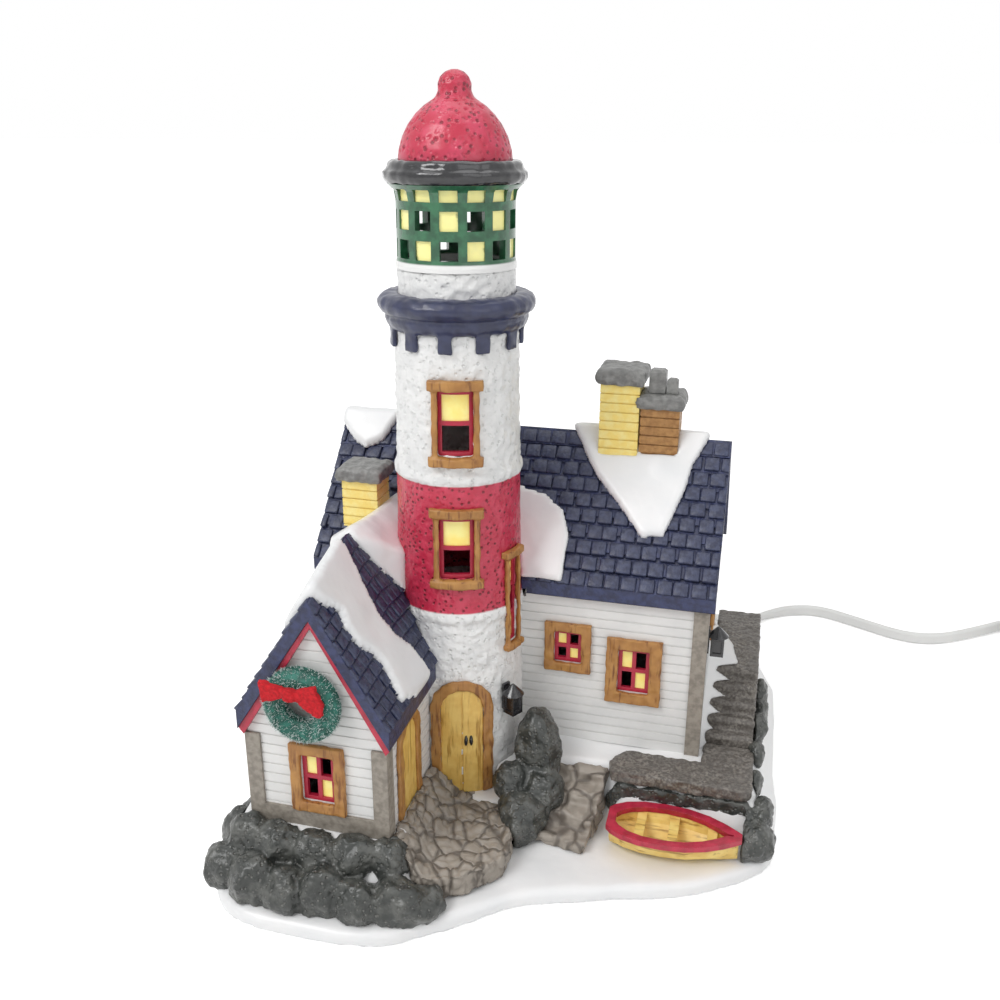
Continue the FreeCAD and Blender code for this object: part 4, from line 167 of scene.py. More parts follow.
class Paint:
    """A node material under construction; each method adds nodes and gives the socket that comes out."""

    def __init__(self, name, rough=0.4, bevel=0.25):
        self.material = bpy.data.materials.new(name)
        self.material.use_nodes = True
        self.tree = self.material.node_tree
        self.shader = self.tree.nodes["Principled BSDF"]
        self.shader.inputs["Roughness"].default_value = rough
        self.place = self.add("ShaderNodeTexCoord").outputs["Object"]
        self.heights = []
        self.bevel = bevel

    def add(self, kind, **settings):
        made = self.tree.nodes.new(kind)
        for name, value in settings.items():
            setattr(made, name, value)
        return made

    def feed(self, socket, value):
        if isinstance(value, bpy.types.NodeSocket):
            self.tree.links.new(value, socket)
        elif isinstance(value, tuple) and len(value) == 3 and socket.type == "RGBA":
            socket.default_value = (*value, 1.0)
        else:
            socket.default_value = value

    def math(self, operation, *values):
        made = self.add("ShaderNodeMath", operation=operation)
        for socket, value in zip(made.inputs, values):
            self.feed(socket, value)
        return made.outputs[0]

    def axis(self, name):
        made = self.add("ShaderNodeSeparateXYZ")
        self.feed(made.inputs[0], self.place)
        return made.outputs[name]

    def noise(self, size, detail=3.0, stretch=None):
        """Noise whose lumps are about size millimetres."""
        made = self.add("ShaderNodeTexNoise")
        made.inputs["Scale"].default_value = 1.0 / (size * MM)
        made.inputs["Detail"].default_value = detail
        self.feed(made.inputs["Vector"], self.stretched(stretch))
        return made.outputs["Fac"]

    def cells(self, size, feature="F1", stretch=None):
        made = self.add("ShaderNodeTexVoronoi", feature=feature)
        made.inputs["Scale"].default_value = 1.0 / (size * MM)
        self.feed(made.inputs["Vector"], self.stretched(stretch))
        return made.outputs["Distance"]

    def stretched(self, stretch):
        if stretch is None:
            return self.place
        made = self.add("ShaderNodeMapping")
        self.feed(made.inputs["Vector"], self.place)
        made.inputs["Scale"].default_value = stretch
        return made.outputs[0]

    def step(self, value, low, high):
        """0 below low, 1 above high, smooth between them."""
        made = self.add("ShaderNodeMapRange", interpolation_type="SMOOTHSTEP")
        for socket, number in zip(made.inputs, (value, low, high, 0.0, 1.0)):
            self.feed(socket, number)
        return made.outputs[0]

    def mix(self, share, first, second):
        made = self.add("ShaderNodeMix", data_type="RGBA")
        self.feed(made.inputs["Factor"], share)
        self.feed(made.inputs[6], first)
        self.feed(made.inputs[7], second)
        return made.outputs[2]

    def faces_out(self, axis_x, axis_y):
        """How far a face looks away from an upright axis, 1 straight out, and its distance from the axis."""
        normal = self.add("ShaderNodeSeparateXYZ")
        self.feed(normal.inputs[0], self.add("ShaderNodeTexCoord").outputs["Normal"])
        x = self.math("SUBTRACT", self.axis("X"), axis_x * MM)
        y = self.math("SUBTRACT", self.axis("Y"), axis_y * MM)
        squares = self.math("ADD", self.math("MULTIPLY", x, x), self.math("MULTIPLY", y, y))
        length = self.math("SQRT", squares)
        dot_x = self.math("MULTIPLY", x, normal.outputs["X"])
        dot_y = self.math("MULTIPLY", y, normal.outputs["Y"])
        dot = self.math("ADD", dot_x, dot_y)
        return self.math("DIVIDE", dot, length), length

    def height(self, value, amount):
        """A relief of about amount millimetres, added to the others."""
        self.heights.append((value, amount))

    def finish(self, colour, rough=None, coat=0.0, glow=0.0):
        self.feed(self.shader.inputs["Base Color"], colour)
        if rough is not None:
            self.feed(self.shader.inputs["Roughness"], rough)
        self.shader.inputs["Coat Weight"].default_value = coat
        self.shader.inputs["Coat Roughness"].default_value = 0.12
        # glow lets a surface give light of its own; the window panes use it as painted light
        if glow:
            self.feed(self.shader.inputs["Emission Color"], colour)
            self.feed(self.shader.inputs["Emission Strength"], glow)
        normal = None
        if self.bevel:
            rounded = self.add("ShaderNodeBevel", samples=4)
            rounded.inputs["Radius"].default_value = self.bevel * MM
            normal = rounded.outputs[0]
        for value, amount in self.heights:
            made = self.add("ShaderNodeBump")
            made.inputs["Strength"].default_value = 1.0
            made.inputs["Distance"].default_value = amount * MM
            self.feed(made.inputs["Height"], value)
            if normal is not None:
                self.feed(made.inputs["Normal"], normal)
            normal = made.outputs[0]
        if normal is not None:
            self.feed(self.shader.inputs["Normal"], normal)
        return self.material


def wear(thing, material):
    """Gives an object this material alone."""
    thing.data.materials.clear()
    thing.data.materials.append(material)


def brushed(name, main, second, rough, size, bump, bevel, coat=0.0):
    """Hand-brushed glaze: two tones in streaks or lumps, and a faint relief."""
    paint = Paint(name, rough, bevel)
    tone = paint.noise(size, 4.0)
    paint.height(paint.noise(size * 0.4, 3.0), bump)
    rough_part = paint.math("ADD", rough - 0.08, paint.math("MULTIPLY", paint.noise(size * 1.7), 0.16))
    return paint.finish(paint.mix(paint.step(tone, 0.35, 0.68), main, second), rough_part, coat)


# ---------------------------------------------------------------- the object's materials

TOWER_X, TOWER_Y = -20.5, -5.0
TOWER_LOW_R, TOWER_TOP_R = 21.2, 18.6
PATH_Z, SHOULDER_Z = 13.0, 164.0
BAND = (77.6, 119.0)
PANE_R = (16.75, 16.95)
LANTERN_FOOT = (183.2, 183.8)
RED, DEEP_RED = (0.52, 0.022, 0.06), (0.36, 0.012, 0.035)
YELLOW = (0.93, 0.72, 0.20)
PALE_YELLOW = (0.98, 0.90, 0.34)
PANE_DEEP = (0.75, 0.85)
# painted light: how strongly the pale yellow panes glow by themselves
PANE_PAINTED_LIGHT = 0.12
BAND_PIT, DOME_PIT, ROCK_PIT = 1.7, 2.1, 1.5
NAVY, LIGHT_NAVY = (0.014, 0.018, 0.055), (0.040, 0.050, 0.105)
WHITE, OFF_WHITE = (0.84, 0.84, 0.83), (0.76, 0.765, 0.76)


def tower_paint():
    """Lumpy white glaze with a pitted red band whose pits are painted dark red as painted shade."""
    paint = Paint("tower_paint", 0.34)
    z = paint.axis("Z")
    band = paint.math(
        "MULTIPLY",
        paint.step(z, (BAND[0] - 0.4) * MM, (BAND[0] + 0.2) * MM),
        paint.math("SUBTRACT", 1.0, paint.step(z, (BAND[1] - 0.2) * MM, (BAND[1] + 0.4) * MM)),
    )
    # painted shade: the pits of the red band are coloured dark red
    pits = paint.step(paint.cells(BAND_PIT), 0.16, 0.36)
    red = paint.mix(paint.step(paint.noise(4.0), 0.35, 0.7), RED, (0.60, 0.045, 0.095))
    red = paint.mix(pits, (0.20, 0.008, 0.02), red)
    white = paint.mix(paint.step(paint.noise(6.0), 0.3, 0.75), WHITE, OFF_WHITE)
    paint.height(paint.step(paint.cells(BAND_PIT), 0.05, 0.4), 0.28)
    paint.height(paint.noise(2.6, 2.0), 0.55)
    return paint.finish(paint.mix(band, white, red), 0.38, 0.15)


def sash_paint(name, face=None):
    """Red bars; the closed panes, which lie deeper and face outward, are pale yellow and glow faintly as
    painted light.
    """
    paint = Paint(name, 0.38, 0.15)
    if face is None:
        out, radius = paint.faces_out(TOWER_X, TOWER_Y)
        slope = (TOWER_TOP_R - TOWER_LOW_R) / (SHOULDER_Z - PATH_Z)
        rise = paint.math("MULTIPLY", paint.axis("Z"), slope)
        cone = paint.math("ADD", (TOWER_LOW_R - PATH_Z * slope) * MM, rise)
        depth = paint.math("SUBTRACT", cone, radius)
        deep = paint.step(depth, PANE_DEEP[0] * MM, PANE_DEEP[1] * MM)
        facing = paint.step(out, 0.7, 0.8)
    else:
        normal = paint.add("ShaderNodeSeparateXYZ")
        paint.feed(normal.inputs[0], paint.add("ShaderNodeTexCoord").outputs["Normal"])
        depth = paint.math("SUBTRACT", paint.axis("Y"), face * MM)
        deep = paint.step(depth, PANE_DEEP[0] * MM, PANE_DEEP[1] * MM)
        facing = paint.step(paint.math("MULTIPLY", normal.outputs["Y"], -1.0), 0.7, 0.8)
    pane = paint.math("MULTIPLY", deep, facing)
    yellow = paint.mix(paint.step(paint.noise(5.0), 0.3, 0.7), PALE_YELLOW, (0.95, 0.78, 0.20))
    red = paint.mix(paint.noise(2.0), RED, DEEP_RED)
    return paint.finish(paint.mix(pane, red, yellow), None, 0.0, paint.math("MULTIPLY", pane, PANE_PAINTED_LIGHT))


def lantern_paint():
    """Green bars, pale yellow panes that glow faintly as painted light, and a white foot."""
    paint = Paint("lantern_paint", 0.22)
    out, radius = paint.faces_out(TOWER_X, TOWER_Y)
    wobble = paint.math("MULTIPLY", paint.math("SUBTRACT", paint.noise(2.0), 0.5), 0.5 * MM)
    near = paint.step(paint.math("ADD", radius, wobble), PANE_R[0] * MM, PANE_R[1] * MM)
    deep = paint.math("SUBTRACT", 1.0, near)
    pane = paint.math("MULTIPLY", deep, paint.step(out, 0.6, 0.75))
    above = paint.step(paint.axis("Z"), LANTERN_FOOT[0] * MM, LANTERN_FOOT[1] * MM)
    foot = paint.math("SUBTRACT", 1.0, above)
    green = paint.mix(paint.step(paint.noise(3.0), 0.35, 0.7), (0.012, 0.085, 0.035), (0.03, 0.16, 0.07))
    yellow = paint.mix(paint.step(paint.noise(3.5), 0.3, 0.7), PALE_YELLOW, (0.90, 0.85, 0.35))
    colour = paint.mix(pane, paint.mix(foot, green, WHITE), yellow)
    return paint.finish(colour, 0.25, 0.4, paint.math("MULTIPLY", pane, PANE_PAINTED_LIGHT))


def dome_paint():
    """Red glaze over a pitted relief, with painted shade darkening the pits."""
    paint = Paint("dome_paint", 0.36)
    # painted shade: the pits are coloured dark red
    pit_shade = paint.step(paint.cells(DOME_PIT), 0.15, 0.34)
    tone = paint.mix(paint.step(paint.noise(DOME_PIT * 3.0), 0.35, 0.7), RED, (0.62, 0.05, 0.11))
    paint.height(paint.step(paint.cells(DOME_PIT), 0.03, 0.39), 0.35)
    return paint.finish(paint.mix(pit_shade, (0.26, 0.01, 0.03), tone), None, 0.15)


def wood_paint(name, main, second, dark, along="Z", size=1.1):
    """Brushed wood grain along one axis."""
    stretch = {"X": (0.12, 1, 1), "Z": (1, 1, 0.12)}[along]
    paint = Paint(name, 0.45, 0.3)
    grain = paint.noise(size, 5.0, stretch)
    tone = paint.mix(paint.step(paint.noise(4.0, 2.0), 0.3, 0.7), main, second)
    paint.height(grain, 0.25)
    return paint.finish(paint.mix(paint.step(grain, 0.30, 0.47), dark, tone), None, 0.05)


def rock_paint():
    """Dark pitted stone with paler spots."""
    paint = Paint("rock_paint", 0.42, 0)
    spots = paint.step(paint.cells(ROCK_PIT), 0.12, 0.34)
    patch = paint.step(paint.noise(5.0, 4.0), 0.42, 0.62)
    stone = paint.mix(paint.noise(2.5, 4.0), (0.016, 0.019, 0.017), (0.050, 0.054, 0.049))
    stone = paint.mix(patch, stone, (0.085, 0.088, 0.080))
    paint.height(paint.step(paint.cells(ROCK_PIT), 0.05, 0.42), 0.35)
    paint.height(paint.noise(3.0, 4.0), 0.4)
    return paint.finish(paint.mix(spots, (0.13, 0.13, 0.12), stone), 0.40, 0.2)


def cobble_paint(name, size):
    """Taupe stones about size millimetres wide, with dark seams."""
    paint = Paint(name, 0.5)
    seam = paint.cells(size, "DISTANCE_TO_EDGE", (1, 1, 0.35))
    tone = paint.mix(paint.noise(3.0, 4.0), (0.26, 0.225, 0.19), (0.40, 0.36, 0.31))
    paint.height(paint.step(seam, 0.0, 0.16), 0.55)
    paint.height(paint.noise(1.6, 3.0), 0.12)
    return paint.finish(paint.mix(paint.step(seam, 0.015, 0.09), (0.14, 0.12, 0.10), tone))


def walk_paint():
    """Speckled grey-brown glaze."""
    paint = Paint("walk_paint", 0.48, 0.4)
    speck = paint.step(paint.noise(0.9, 4.0), 0.40, 0.62)
    patch = paint.step(paint.noise(5.0, 3.0), 0.35, 0.7)
    tone = paint.mix(patch, (0.155, 0.14, 0.125), (0.235, 0.215, 0.19))
    paint.height(paint.noise(1.1, 4.0), 0.22)
    return paint.finish(paint.mix(speck, (0.095, 0.085, 0.075), tone), None, 0.05)


def snow_paint():
    """Glossy white glaze with soft swells."""
    paint = Paint("snow_paint", 0.36, 0)
    tone = paint.mix(paint.step(paint.noise(18.0, 3.0), 0.3, 0.75), (0.86, 0.86, 0.86), (0.80, 0.81, 0.82))
    paint.height(paint.noise(9.0, 2.0), 0.5)
    paint.height(paint.noise(1.2, 2.0), 0.03)
    paint.shader.inputs["Subsurface Weight"].default_value = 0.12
    paint.shader.inputs["Subsurface Radius"].default_value = (0.003, 0.003, 0.003)
    paint.shader.inputs["Subsurface Scale"].default_value = 1.0
    return paint.finish(tone, None, 0.12)


def wall_paint():
    """Off-white glaze, a little uneven along the boards."""
    paint = Paint("wall_paint", 0.42, 0.12)
    tone = paint.mix(paint.step(paint.noise(12.0, 3.0), 0.3, 0.75), (0.80, 0.795, 0.78), (0.73, 0.73, 0.72))
    paint.height(paint.noise(2.2, 3.0, (0.3, 0.3, 1.0)), 0.10)
    return paint.finish(tone)


def clear_glass():
    paint = Paint("bulb_glass_paint", 0.03, 0)
    paint.shader.inputs["Transmission Weight"].default_value = 1.0
    paint.shader.inputs["IOR"].default_value = 1.45
    paint.height(paint.noise(14.0, 1.0), 0.05)
    return paint.finish((0.97, 0.97, 0.95))


def metal(name, colour):
    """Brushed metal."""
    paint = Paint(name, 0.3, 0.12)
    paint.shader.inputs["Metallic"].default_value = 1.0
    paint.height(paint.noise(1.0, 3.0, (1.0, 0.1, 1.0)), 0.02)
    darker = tuple(part * 0.8 for part in colour)
    return paint.finish(paint.mix(paint.noise(3.0), colour, darker))


def moulded(name, colour, rough=0.42):
    """Soft white plastic with a fine grain."""
    paint = Paint(name, rough, 0.2)
    paint.height(paint.noise(0.35, 2.0), 0.012)
    darker = tuple(part * 0.93 for part in colour)
    return paint.finish(paint.mix(paint.noise(7.0), colour, darker))


# brushed takes the name, main tone, second tone, roughness, size of the marks, relief, edge rounding and coat
NAVY_PAINT = brushed("navy_paint", NAVY, (0.024, 0.031, 0.085), 0.33, 4.0, 0.10, 0.5, 0.2)
BLACK_PAINT = brushed("black_paint", (0.008, 0.008, 0.010), (0.02, 0.02, 0.024), 0.14, 3.0, 0.08, 0.5, 0.5)
RED_PAINT = brushed("red_paint", RED, DEEP_RED, 0.36, 3.0, 0.10, 0.3, 0.15)
POST_PAINT = brushed("post_paint", (0.33, 0.295, 0.25), (0.22, 0.195, 0.165), 0.5, 2.0, 0.18, 0.3)
CAP_PAINT = brushed("cap_paint", (0.15, 0.15, 0.145), (0.25, 0.25, 0.24), 0.42, 2.5, 0.30, 0.4, 0.1)
YELLOW_BRICK = brushed("yellow_brick_paint", YELLOW, (0.95, 0.80, 0.30), 0.45, 2.5, 0.18, 0.3)
BROWN_BRICK = brushed("brown_brick_paint", (0.44, 0.23, 0.075), (0.30, 0.14, 0.04), 0.45, 2.0, 0.22, 0.3)
ROOF_PAINT = brushed("roof_paint", NAVY, (0.030, 0.040, 0.115), 0.40, 2.2, 0.22, 0.3, 0.08)
TILE_PAINT = brushed("tile_paint", (0.013, 0.017, 0.050), LIGHT_NAVY, 0.40, 1.6, 0.22, 0.35, 0.08)
FRAME_PAINT = wood_paint("frame_paint", (0.47, 0.235, 0.065), (0.36, 0.16, 0.04), (0.20, 0.075, 0.018))
DOOR_PAINT = wood_paint("door_paint", (0.86, 0.60, 0.17), (0.75, 0.47, 0.11), (0.45, 0.24, 0.04), "Z", 1.4)
BOAT_WOOD = wood_paint(
    "boat_wood_paint", (0.90, 0.68, 0.22), (0.80, 0.54, 0.14), (0.42, 0.24, 0.05), "X", 1.5,
)
SNOW_PAINT, WALL_PAINT, ROCK_PAINT, WALK_PAINT = snow_paint(), wall_paint(), rock_paint(), walk_paint()
PATH_PAINT, STEP_PAINT = cobble_paint("path_paint", 6.5), cobble_paint("step_paint", 9.0)
DOME_PAINT = dome_paint()
CORD_PAINT = moulded("cord_paint", (0.80, 0.80, 0.785))
PLASTIC_PAINT = moulded("plastic_paint", (0.82, 0.82, 0.80))
TIE_PAINT = moulded("tie_paint", (0.70, 0.70, 0.69), 0.5)
NEEDLE_PAINT = brushed("needle_paint", (0.008, 0.075, 0.055), (0.02, 0.16, 0.12), 0.6, 2.0, 0.0, 0)
TIP_PAINT = brushed("needle_tip_paint", (0.80, 0.84, 0.83), (0.55, 0.66, 0.64), 0.6, 2.0, 0.0, 0)
FLOCK_PAINT = brushed("flock_paint", (0.62, 0.012, 0.02), (0.42, 0.006, 0.012), 0.9, 1.0, 0.25, 0)

CAD_PAINT = {
    "tower": tower_paint(), "lantern_room": lantern_paint(), "gallery_ring": NAVY_PAINT,
    "lantern_rim": BLACK_PAINT, "dome_cap": DOME_PAINT,
    "tower_window_sashes": sash_paint("tower_sash_paint"),
    "house_window_sashes": sash_paint("house_sash_paint", 2.0),
    "gable_window_sash": sash_paint("gable_sash_paint", -65.0),
    "house_walls": WALL_PAINT, "wing_walls": WALL_PAINT, "house_roof": ROOF_PAINT, "wing_roof": ROOF_PAINT,
    "eave_trims": RED_PAINT, "rake_trim": RED_PAINT, "corner_boards": POST_PAINT, "wing_boards": POST_PAINT,
    "side_steps": WALK_PAINT, "lower_landing": WALK_PAINT,
    "saddle_chimney_shaft": YELLOW_BRICK, "tall_chimney_shaft": YELLOW_BRICK,
    "brown_chimney_shaft": BROWN_BRICK,
    "saddle_chimney_cap": CAP_PAINT, "tall_chimney_cap": CAP_PAINT, "brown_chimney_cap": CAP_PAINT,
    "chimney_pots": CAP_PAINT, "wall_lanterns": BLACK_PAINT,
    "boat_hull": BOAT_WOOD, "boat_thwarts": BOAT_WOOD, "boat_gunwale": RED_PAINT,
    "lamp_holder": PLASTIC_PAINT, "holder_clip": metal("clip_steel", (0.62, 0.62, 0.62)),
    "bulb_base": metal("bulb_brass", (0.78, 0.60, 0.32)), "bulb_glass": clear_glass(),
    "strain_relief": CORD_PAINT, "plug_body": CORD_PAINT,
    "plug_blades": metal("blade_brass", (0.80, 0.68, 0.42)),
    "coil_tie": TIE_PAINT, "wreath_bow": FLOCK_PAINT, "wreath": NEEDLE_PAINT, "walk_snow": SNOW_PAINT,
    "snow_base": SNOW_PAINT, "roof_snow": SNOW_PAINT, "wing_snow": SNOW_PAINT,
    "wing_rocks": ROCK_PAINT, "tower_rocks": ROCK_PAINT, "walk_rocks": ROCK_PAINT,
    "cobbled_path": PATH_PAINT, "front_steps": STEP_PAINT,
}
FRAMES = (
    "tower_window_frames", "house_window_frames", "gable_window_frame",
    "tower_door_arch", "wing_door_arch", "landing_door_arch",
)
for label in FRAMES:
    CAD_PAINT[label] = FRAME_PAINT
for label in ("tower_door", "wing_door", "landing_door"):
    CAD_PAINT[label] = DOOR_PAINT
for label, material in CAD_PAINT.items():
    wear(CAD[label], material)

# ---------------------------------------------------------------- fired surfaces over the solids


def linked(name, data):
    """A new object of the scene with this data."""
    made = bpy.data.objects.new(name, data)
    bpy.context.scene.collection.objects.link(made)
    return made


def from_bmesh(name, shape, paint):
    """A piece of the casting made from a finished bmesh."""
    mesh = bpy.data.meshes.new(name)
    shape.to_mesh(mesh)
    shape.free()
    made = linked(name, mesh)
    mesh.materials.append(paint)
    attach(made, "casting")
    return made


def shaded_smooth(mesh):
    mesh.polygons.foreach_set("use_smooth", [True] * len(mesh.polygons))


def skin(label, voxel, rounds, relief):
    """A node's solid with the soft edges and the uneven surface of a glazed casting."""
    source = CAD[label]
    made = linked(label + "_skin", source.data.copy())
    made.matrix_world = source.matrix_world
    remesh = made.modifiers.new("remesh", "REMESH")
    remesh.mode = "VOXEL"
    remesh.voxel_size = voxel * MM
    smooth = made.modifiers.new("smooth", "SMOOTH")
    smooth.factor = 0.5
    smooth.iterations = rounds
    bpy.context.view_layer.update()
    mesh = bpy.data.meshes.new_from_object(made.evaluated_get(bpy.context.evaluated_depsgraph_get()))
    made.modifiers.clear()
    made.data = mesh
    moves = [vertex.normal * relief(vertex.co / MM) * MM for vertex in mesh.vertices]
    for vertex, move in zip(mesh.vertices, moves):
        vertex.co += move
        vertex.co.z = max(vertex.co.z, 0.0)
    shaded_smooth(mesh)
    wear(made, CAD_PAINT[label])
    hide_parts(label)
    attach(made, "casting")


def ramp(value, low, high):
    """0 below low, 1 above high, smooth between them."""
    share = min(max((value - low) / (high - low), 0.0), 1.0)
    return share * share * (3 - 2 * share)


def lumps(size, amount):
    """Soft swells about size millimetres wide."""
    return lambda at: amount * noise.noise(at / size)


def pits(size, amount, reach=0.42):
    """Round pits, one in each cell of about size millimetres."""
    return lambda at: -amount * (1 - ramp(noise.voronoi(at / size)[0][0], 0.05, reach))


def raised(amount):
    """The whole surface moved out."""
    return lambda at: amount


def stones(size, amount):
    """Stones parted by grooves."""

    def at_point(at):
        near = noise.voronoi(at / size)[0]
        return -amount * (1 - ramp(near[1] - near[0], 0.02, 0.3))

    return at_point


def both(*parts):
    """Reliefs added together."""
    return lambda at: sum(part(at) for part in parts)


def tower_relief():
    """Pits in the red band and pebbles above and below it."""
    pitted_band = both(pits(1.5, 0.5), lumps(2.0, 0.15))
    plain = both(lumps(2.2, 0.55), lumps(1.0, 0.12))
    return lambda at: pitted_band(at) if BAND[0] < at.z < BAND[1] else plain(at)


ROCK_RELIEF = both(lumps(5.0, 1.3), pits(1.7, 0.5), lumps(1.6, 0.4))
# node: voxel size in millimetres, rounds of smoothing, relief
SKINS = {
    "snow_base": (1.1, 8, lumps(16.0, 0.7)), "walk_snow": (0.6, 8, lumps(8.0, 0.4)),
    "roof_snow": (0.6, 5, both(lumps(9.0, 0.4), raised(0.5))),
    "wing_snow": (0.6, 6, both(lumps(9.0, 0.4), raised(1.3))),
    "wing_rocks": (0.6, 3, ROCK_RELIEF), "tower_rocks": (0.6, 3, ROCK_RELIEF),
    "walk_rocks": (0.6, 3, both(lumps(4.0, 0.9), pits(1.6, 0.45), lumps(1.5, 0.35))),
    "tower": (0.6, 2, tower_relief()), "dome_cap": (0.5, 2, pits(1.7, 0.5)),
    "gallery_ring": (0.5, 3, lumps(3.0, 0.3)), "lantern_rim": (0.5, 3, lumps(3.0, 0.3)),
    "cobbled_path": (0.6, 2, both(stones(4.2, 0.8), lumps(3.0, 0.5))),
    "front_steps": (0.6, 3, both(stones(7.0, 0.7), lumps(3.0, 0.6))),
    "side_steps": (0.6, 2, lumps(2.0, 0.5)), "lower_landing": (0.5, 3, lumps(2.0, 0.5)),
    "tower_window_frames": (0.4, 3, lumps(2.5, 0.3)), "house_window_frames": (0.35, 3, lumps(2.5, 0.3)),
    "gable_window_frame": (0.35, 3, lumps(2.5, 0.3)), "tower_door_arch": (0.4, 3, lumps(3.0, 0.35)),
    "wing_door_arch": (0.35, 2, lumps(3.0, 0.3)), "landing_door_arch": (0.35, 2, lumps(3.0, 0.3)),
    "tall_chimney_cap": (0.4, 3, lumps(2.5, 0.5)), "brown_chimney_cap": (0.4, 3, lumps(2.5, 0.5)),
    "saddle_chimney_cap": (0.4, 3, lumps(2.5, 0.5)),
    "wreath_bow": (0.3, 3, both(lumps(1.5, 0.3), lumps(0.6, 0.2))),
}
for label, (voxel, rounds, relief) in SKINS.items():
    skin(label, voxel, rounds, relief)

# ---------------------------------------------------------------- roof tiles

TILE_RISE, TILE_SUNK = 1.0, 0.8
TILE_SEAM = 0.10
TILE_ROWS = 10
TILE_ROUNDING = 0.45
TILE_HEAD = 0.35


def tile_field(name, ridge, eave, width, clear):
    """Rows of uneven tiles between a ridge line and an eave line, where clear(point) allows one."""
    shape = bmesh.new()
    length = (ridge[1] - ridge[0]).length
    columns = max(1, round(length / (width * MM)))

    def field(u, v):
        return ridge[0].lerp(ridge[1], u).lerp(eave[0].lerp(eave[1], u), v)

    out = (ridge[1] - ridge[0]).cross(eave[0] - ridge[0]).normalized()
    if out.z < 0:
        out = -out
    for row in range(TILE_ROWS):
        for column in range(-1, columns + 1):
            left = (column + 0.5 * (row % 2) + random.uniform(-0.08, 0.08)) / columns
            right = left + (1 - TILE_SEAM) / columns
            left, right = max(left, 0.0), min(right, 1.0)
            if right - left < 0.25 / columns:
                continue
            high, low = (row + TILE_SEAM) / TILE_ROWS, (row + 1) / TILE_ROWS
            if not clear(field((left + right) / 2, (high + low) / 2) / MM):
                continue
            rise = TILE_RISE * random.uniform(0.75, 1.2) * MM
            inner = []
            outer = []
            corners = (left, high, TILE_HEAD), (right, high, TILE_HEAD), (right, low, 1.0), (left, low, 1.0)
            for u, v, lift in corners:
                outer.append(shape.verts.new(field(u, v) - out * TILE_SUNK * MM))
                inner.append(shape.verts.new(field(u, v) + out * rise * lift * random.uniform(0.8, 1.15)))
            shape.faces.new(inner)
            shape.faces.new(outer[::-1])
            for number in range(4):
                after = (number + 1) % 4
                shape.faces.new((outer[number], outer[after], inner[after], inner[number]))
    bmesh.ops.recalc_face_normals(shape, faces=shape.faces)
    made = from_bmesh(name, shape, TILE_PAINT)
    rounding = made.modifiers.new("round", "BEVEL")
    rounding.width = TILE_ROUNDING * MM
    rounding.segments = 2
    shaded_smooth(made.data)


ROOF_X = (-74.5, 62.0)
# y and z of the lines where the house's tiles end and start
EAVES, EAVE_Z, RIDGE_AT, RIDGE_Z = (-0.7, 69.7), 80.7, 34.5, 122.5
HOUSE_TILE, WING_TILE = 5.4, 4.2
TOWER_REACH = 19.5
# the part of the house's roof that the wing's roof covers
WING_X, WING_COVERS_X, WING_COVERS_Y = -47.6, (-70.0, -24.0), 12.0
WING_COVERS_Z, WING_FALL = 100.0, 0.7
# left, right, front and back of the space that the chimneys take
CHIMNEYS = ((18.0, 45.5, 26.5, 41.0), (-62.5, -49.0, -3.0, 9.5))


def off_chimneys_and_tower(at):
    if (at.x - TOWER_X) ** 2 + (at.y - TOWER_Y) ** 2 < TOWER_REACH ** 2:
        return False
    return not any(x0 < at.x < x1 and y0 < at.y < y1 for x0, x1, y0, y1 in CHIMNEYS)


def on_house_roof(at):
    """Clear of the wing, whose roof runs into the front slope."""
    under = at.z < WING_COVERS_Z - abs(at.x - WING_X) * WING_FALL
    covered = at.y < WING_COVERS_Y and WING_COVERS_X[0] < at.x < WING_COVERS_X[1] and under
    return off_chimneys_and_tower(at) and not covered


for side, eave_y in zip(("front", "back"), EAVES):
    tile_field(
        "house_tiles_" + side,
        (mm(ROOF_X[0], RIDGE_AT, RIDGE_Z), mm(ROOF_X[1], RIDGE_AT, RIDGE_Z)),
        (mm(ROOF_X[0], eave_y, EAVE_Z), mm(ROOF_X[1], eave_y, EAVE_Z)),
        HOUSE_TILE, on_house_roof,
    )
# the wing's ridge, as y, x and z of its points
WING_RIDGE = ((-67.5, -45.2, 98.0), (-34.0, -47.6, 104.5), (2.0, -47.6, 98.0))
WING_EAVES, WING_EAVE_Z = (-70.0, -22.6), 60.0
for number, (first, second) in enumerate(zip(WING_RIDGE, WING_RIDGE[1:])):
    for side, eave_x in zip(("left", "right"), WING_EAVES):
        tile_field(
            f"wing_tiles_{side}_{number}",
            (mm(first[1], first[0], first[2]), mm(second[1], second[0], second[2])),
            (mm(eave_x, first[0], WING_EAVE_Z), mm(eave_x, second[0], WING_EAVE_Z)),
            WING_TILE, off_chimneys_and_tower,
        )

# ---------------------------------------------------------------- wreath

WREATH_AT = (-48.2, -68.55, 66.0)
WREATH_R, WREATH_T = 8.3, 3.5
NEEDLES, TIPS = 5600, 4200
LEAN = 0.45


